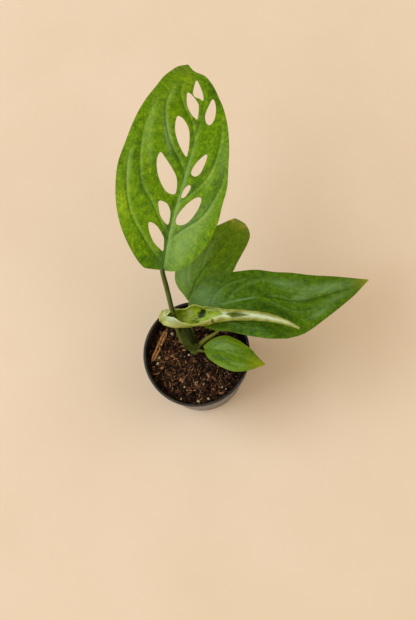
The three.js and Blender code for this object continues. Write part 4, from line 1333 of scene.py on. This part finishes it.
def random_place(rng, reach):
    """A place on the soil that is clear of the stem."""
    while True:
        angle = rng.uniform(0, 2 * math.pi)
        distance = reach * math.sqrt(rng.random())
        x, y = distance * math.cos(angle), distance * math.sin(angle)
        if math.hypot(x - STEM_AXIS[0], y - STEM_AXIS[1]) > STEM_RADIUS + STEM_CLEARANCE:
            return x, y


def crumbs_piece(name, material, bits, level):
    """One mesh of many rough bits. Each bit is (x, y, lift, size, shape, flatness, tone)."""
    rng = random.Random(f"{name}{SEED}")
    corners, faces = crumb_shape(level)
    points, every, tones = [], [], []
    for x, y, lift, size, shape, flatness, tone in bits:
        jag = np.array([1 + 0.55 * noise.noise(Vector(c) * 1.7 + Vector((x, y, size))) for c in corners])
        local = corners * jag[:, None] * np.array(shape) * size
        spot = np.array([x, y, rough_height(x, y) + lift])
        every += (faces + len(points)).tolist()
        points += list(local @ turned(rng, flatness).T + spot)
        tones += [tone] * len(corners)
    made = make_mesh(name, points, every, smooth=level > 1)
    add_value(made, "tone", tones)
    return finish_piece(made, [material], "soil")


def fibre_points(rng, x, y, length, angle, radius):
    """Rings round a thin fibre that lies along the soil."""
    steps, sides = 9, 5
    bend = rng.uniform(-0.5, 0.5)
    centre = []
    for t in np.linspace(-0.5, 0.5, steps):
        turn = angle + bend * t
        px, py = x + length * t * math.cos(turn), y + length * t * math.sin(turn)
        centre.append((px, py, rough_height(px, py) + 0.35 + 0.8 * rng.random()))
    curve = Curve(centre)
    rings = []
    for u in np.linspace(0, 1, steps * 2):
        along = curve.tangent(u)
        right = unit(np.cross(along, (0, 0, 1.0)))
        up = np.cross(right, along)
        angles = even_angles(sides)
        thin = radius * (0.55 + 0.45 * math.sin(math.pi * min(max(u, 0.1), 0.9)))
        rings.append(curve.at(u) + thin * (np.cos(angles)[:, None] * right + np.sin(angles)[:, None] * up))
    return np.array(rings)


def fibres_piece(material):
    rng = random.Random(SEED + 3)
    points, faces, tones = [], [], []
    listed = [LONG_FIBRE]
    while len(listed) < FIBRE_COUNT:
        x, y = random_place(rng, SOIL_RADIUS - FIBRE_INSET)
        listed.append((x, y, rng.uniform(2, 7), rng.uniform(0, math.pi), rng.uniform(0.1, 0.24)))
    for x, y, length, angle, radius in listed:
        rings = fibre_points(rng, x, y, length, angle, radius)
        count, sides, _ = rings.shape
        start = len(points)
        faces += [tuple(k + start for k in face) for face in tube_faces(count, sides)]
        points += list(rings.reshape(-1, 3))
        tones += [rng.uniform(0.3, 0.95)] * (count * sides)
    made = make_mesh("soil_fibres", points, faces)
    add_value(made, "tone", tones)
    return finish_piece(made, [material], "soil")


def build_soil():
    """The bed and what lies on it. Each material's colours are dark, middle and light."""
    bark = crumb_material("soil_bark", (14, 7, 4), (76, 46, 28), (196, 138, 92), 0.8)
    soil_bed(crumb_material("soil_bed", (5, 2, 1), (32, 19, 10), (112, 72, 45), 0.9))
    bark_strip(crumb_material("soil_strip", (72, 42, 22), (160, 106, 64), (206, 150, 100), 0.8))
    rng = random.Random(SEED)
    chips = []
    for _ in range(CHIP_COUNT):
        x, y = random_place(rng, SOIL_RADIUS - CHIP_INSET)
        size = 0.55 + 1.5 * rng.random() ** 3
        shape = (rng.uniform(0.9, 2.1), rng.uniform(0.4, 0.75), rng.uniform(0.25, 0.5))
        chips.append((x, y, 0.1 + 0.2 * size, size, shape, 0.6, rng.random() ** 1.7))
    crumbs_piece("soil_chips", bark, chips, 2)
    grains = []
    for _ in range(GRAIN_COUNT):
        x, y = random_place(rng, SOIL_RADIUS - GRAIN_INSET)
        shape = (rng.uniform(0.8, 1.8), rng.uniform(0.5, 0.9), 0.6)
        grains.append((x, y, 0.2, rng.uniform(0.22, 0.6), shape, 1.0, rng.random() ** 1.9))
    crumbs_piece("soil_grains", bark, grains, 1)
    perlite = [(x, y, 0.5, size, (1, 0.8, 0.6), 1.0, 0.9 - 0.35 * size) for x, y, size in PERLITE]
    for _ in range(PERLITE_DUST_COUNT):
        x, y = random_place(rng, SOIL_RADIUS - PERLITE_DUST_INSET)
        perlite.append((x, y, 0.3, rng.uniform(0.25, 0.6), (1, 0.9, 0.8), 1.0, rng.random() ** 1.5))
    white = crumb_material("soil_perlite", (150, 120, 84), (206, 182, 142), (240, 232, 212), 0.85)
    crumbs_piece("soil_perlite_bits", white, perlite, 2)
    fibres_piece(crumb_material("soil_fibre", (90, 56, 32), (146, 100, 62), (200, 158, 112), 0.7))


def build_camera():
    data = bpy.data.cameras.new("camera")
    data.lens = CAMERA_LENS
    data.sensor_width = CAMERA_SENSOR
    data.clip_start = 0.01
    data.clip_end = 50
    camera = add_object("camera", data)
    right, up = Vector(CAMERA_RIGHT), Vector(CAMERA_UP)
    turn = Matrix((right, up, right.cross(up))).transposed().to_4x4()
    camera.matrix_world = Matrix.Translation(Vector(CAMERA_PLACE) * MM) @ turn
    bpy.context.scene.camera = camera


def build_floor():
    """The plain pale floor."""
    corners = [(x * FLOOR_REACH, y * FLOOR_REACH, 0) for x, y in ((-1, -1), (1, -1), (1, 1), (-1, 1))]
    floor = make_mesh("floor", corners, [(0, 1, 2, 3)])
    s = Shader("floor_paint")
    tint = s.ramp(s.noise(s.place(), 6.0, 4.0), [(0.3, (232, 206, 178)), (0.7, (238, 213, 187))])
    floor.data.materials.append(s.finish(Base_Color=tint, Roughness=0.75, Specular_IOR_Level=0.2))


def soft_lamp(name, place, size, power, tint):
    data = bpy.data.lights.new(name, "AREA")
    data.size = size * MM
    data.energy = power
    data.color = tint
    lamp = add_object(name, data)
    lamp.location = Vector(place) * MM
    lamp.rotation_euler = (Vector(LAMP_AIM) - Vector(place)).to_track_quat("-Z", "Y").to_euler()


def build_light():
    scene = bpy.context.scene
    scene.view_settings.view_transform = "Standard"
    world = bpy.data.worlds.new("room")
    scene.world = world
    world.use_nodes = True
    room = world.node_tree.nodes["Background"]
    room.inputs[0].default_value = ROOM_COLOUR
    room.inputs[1].default_value = ROOM_STRENGTH
    for name, lamp in LAMPS.items():
        soft_lamp(name, **lamp)


build_camera()
build_floor()
build_light()
pot_piece()
build_soil()
build_stalks()
build_blades()
new_leaf_piece()


def corners(box):
    return [list(corner) for corner in box]
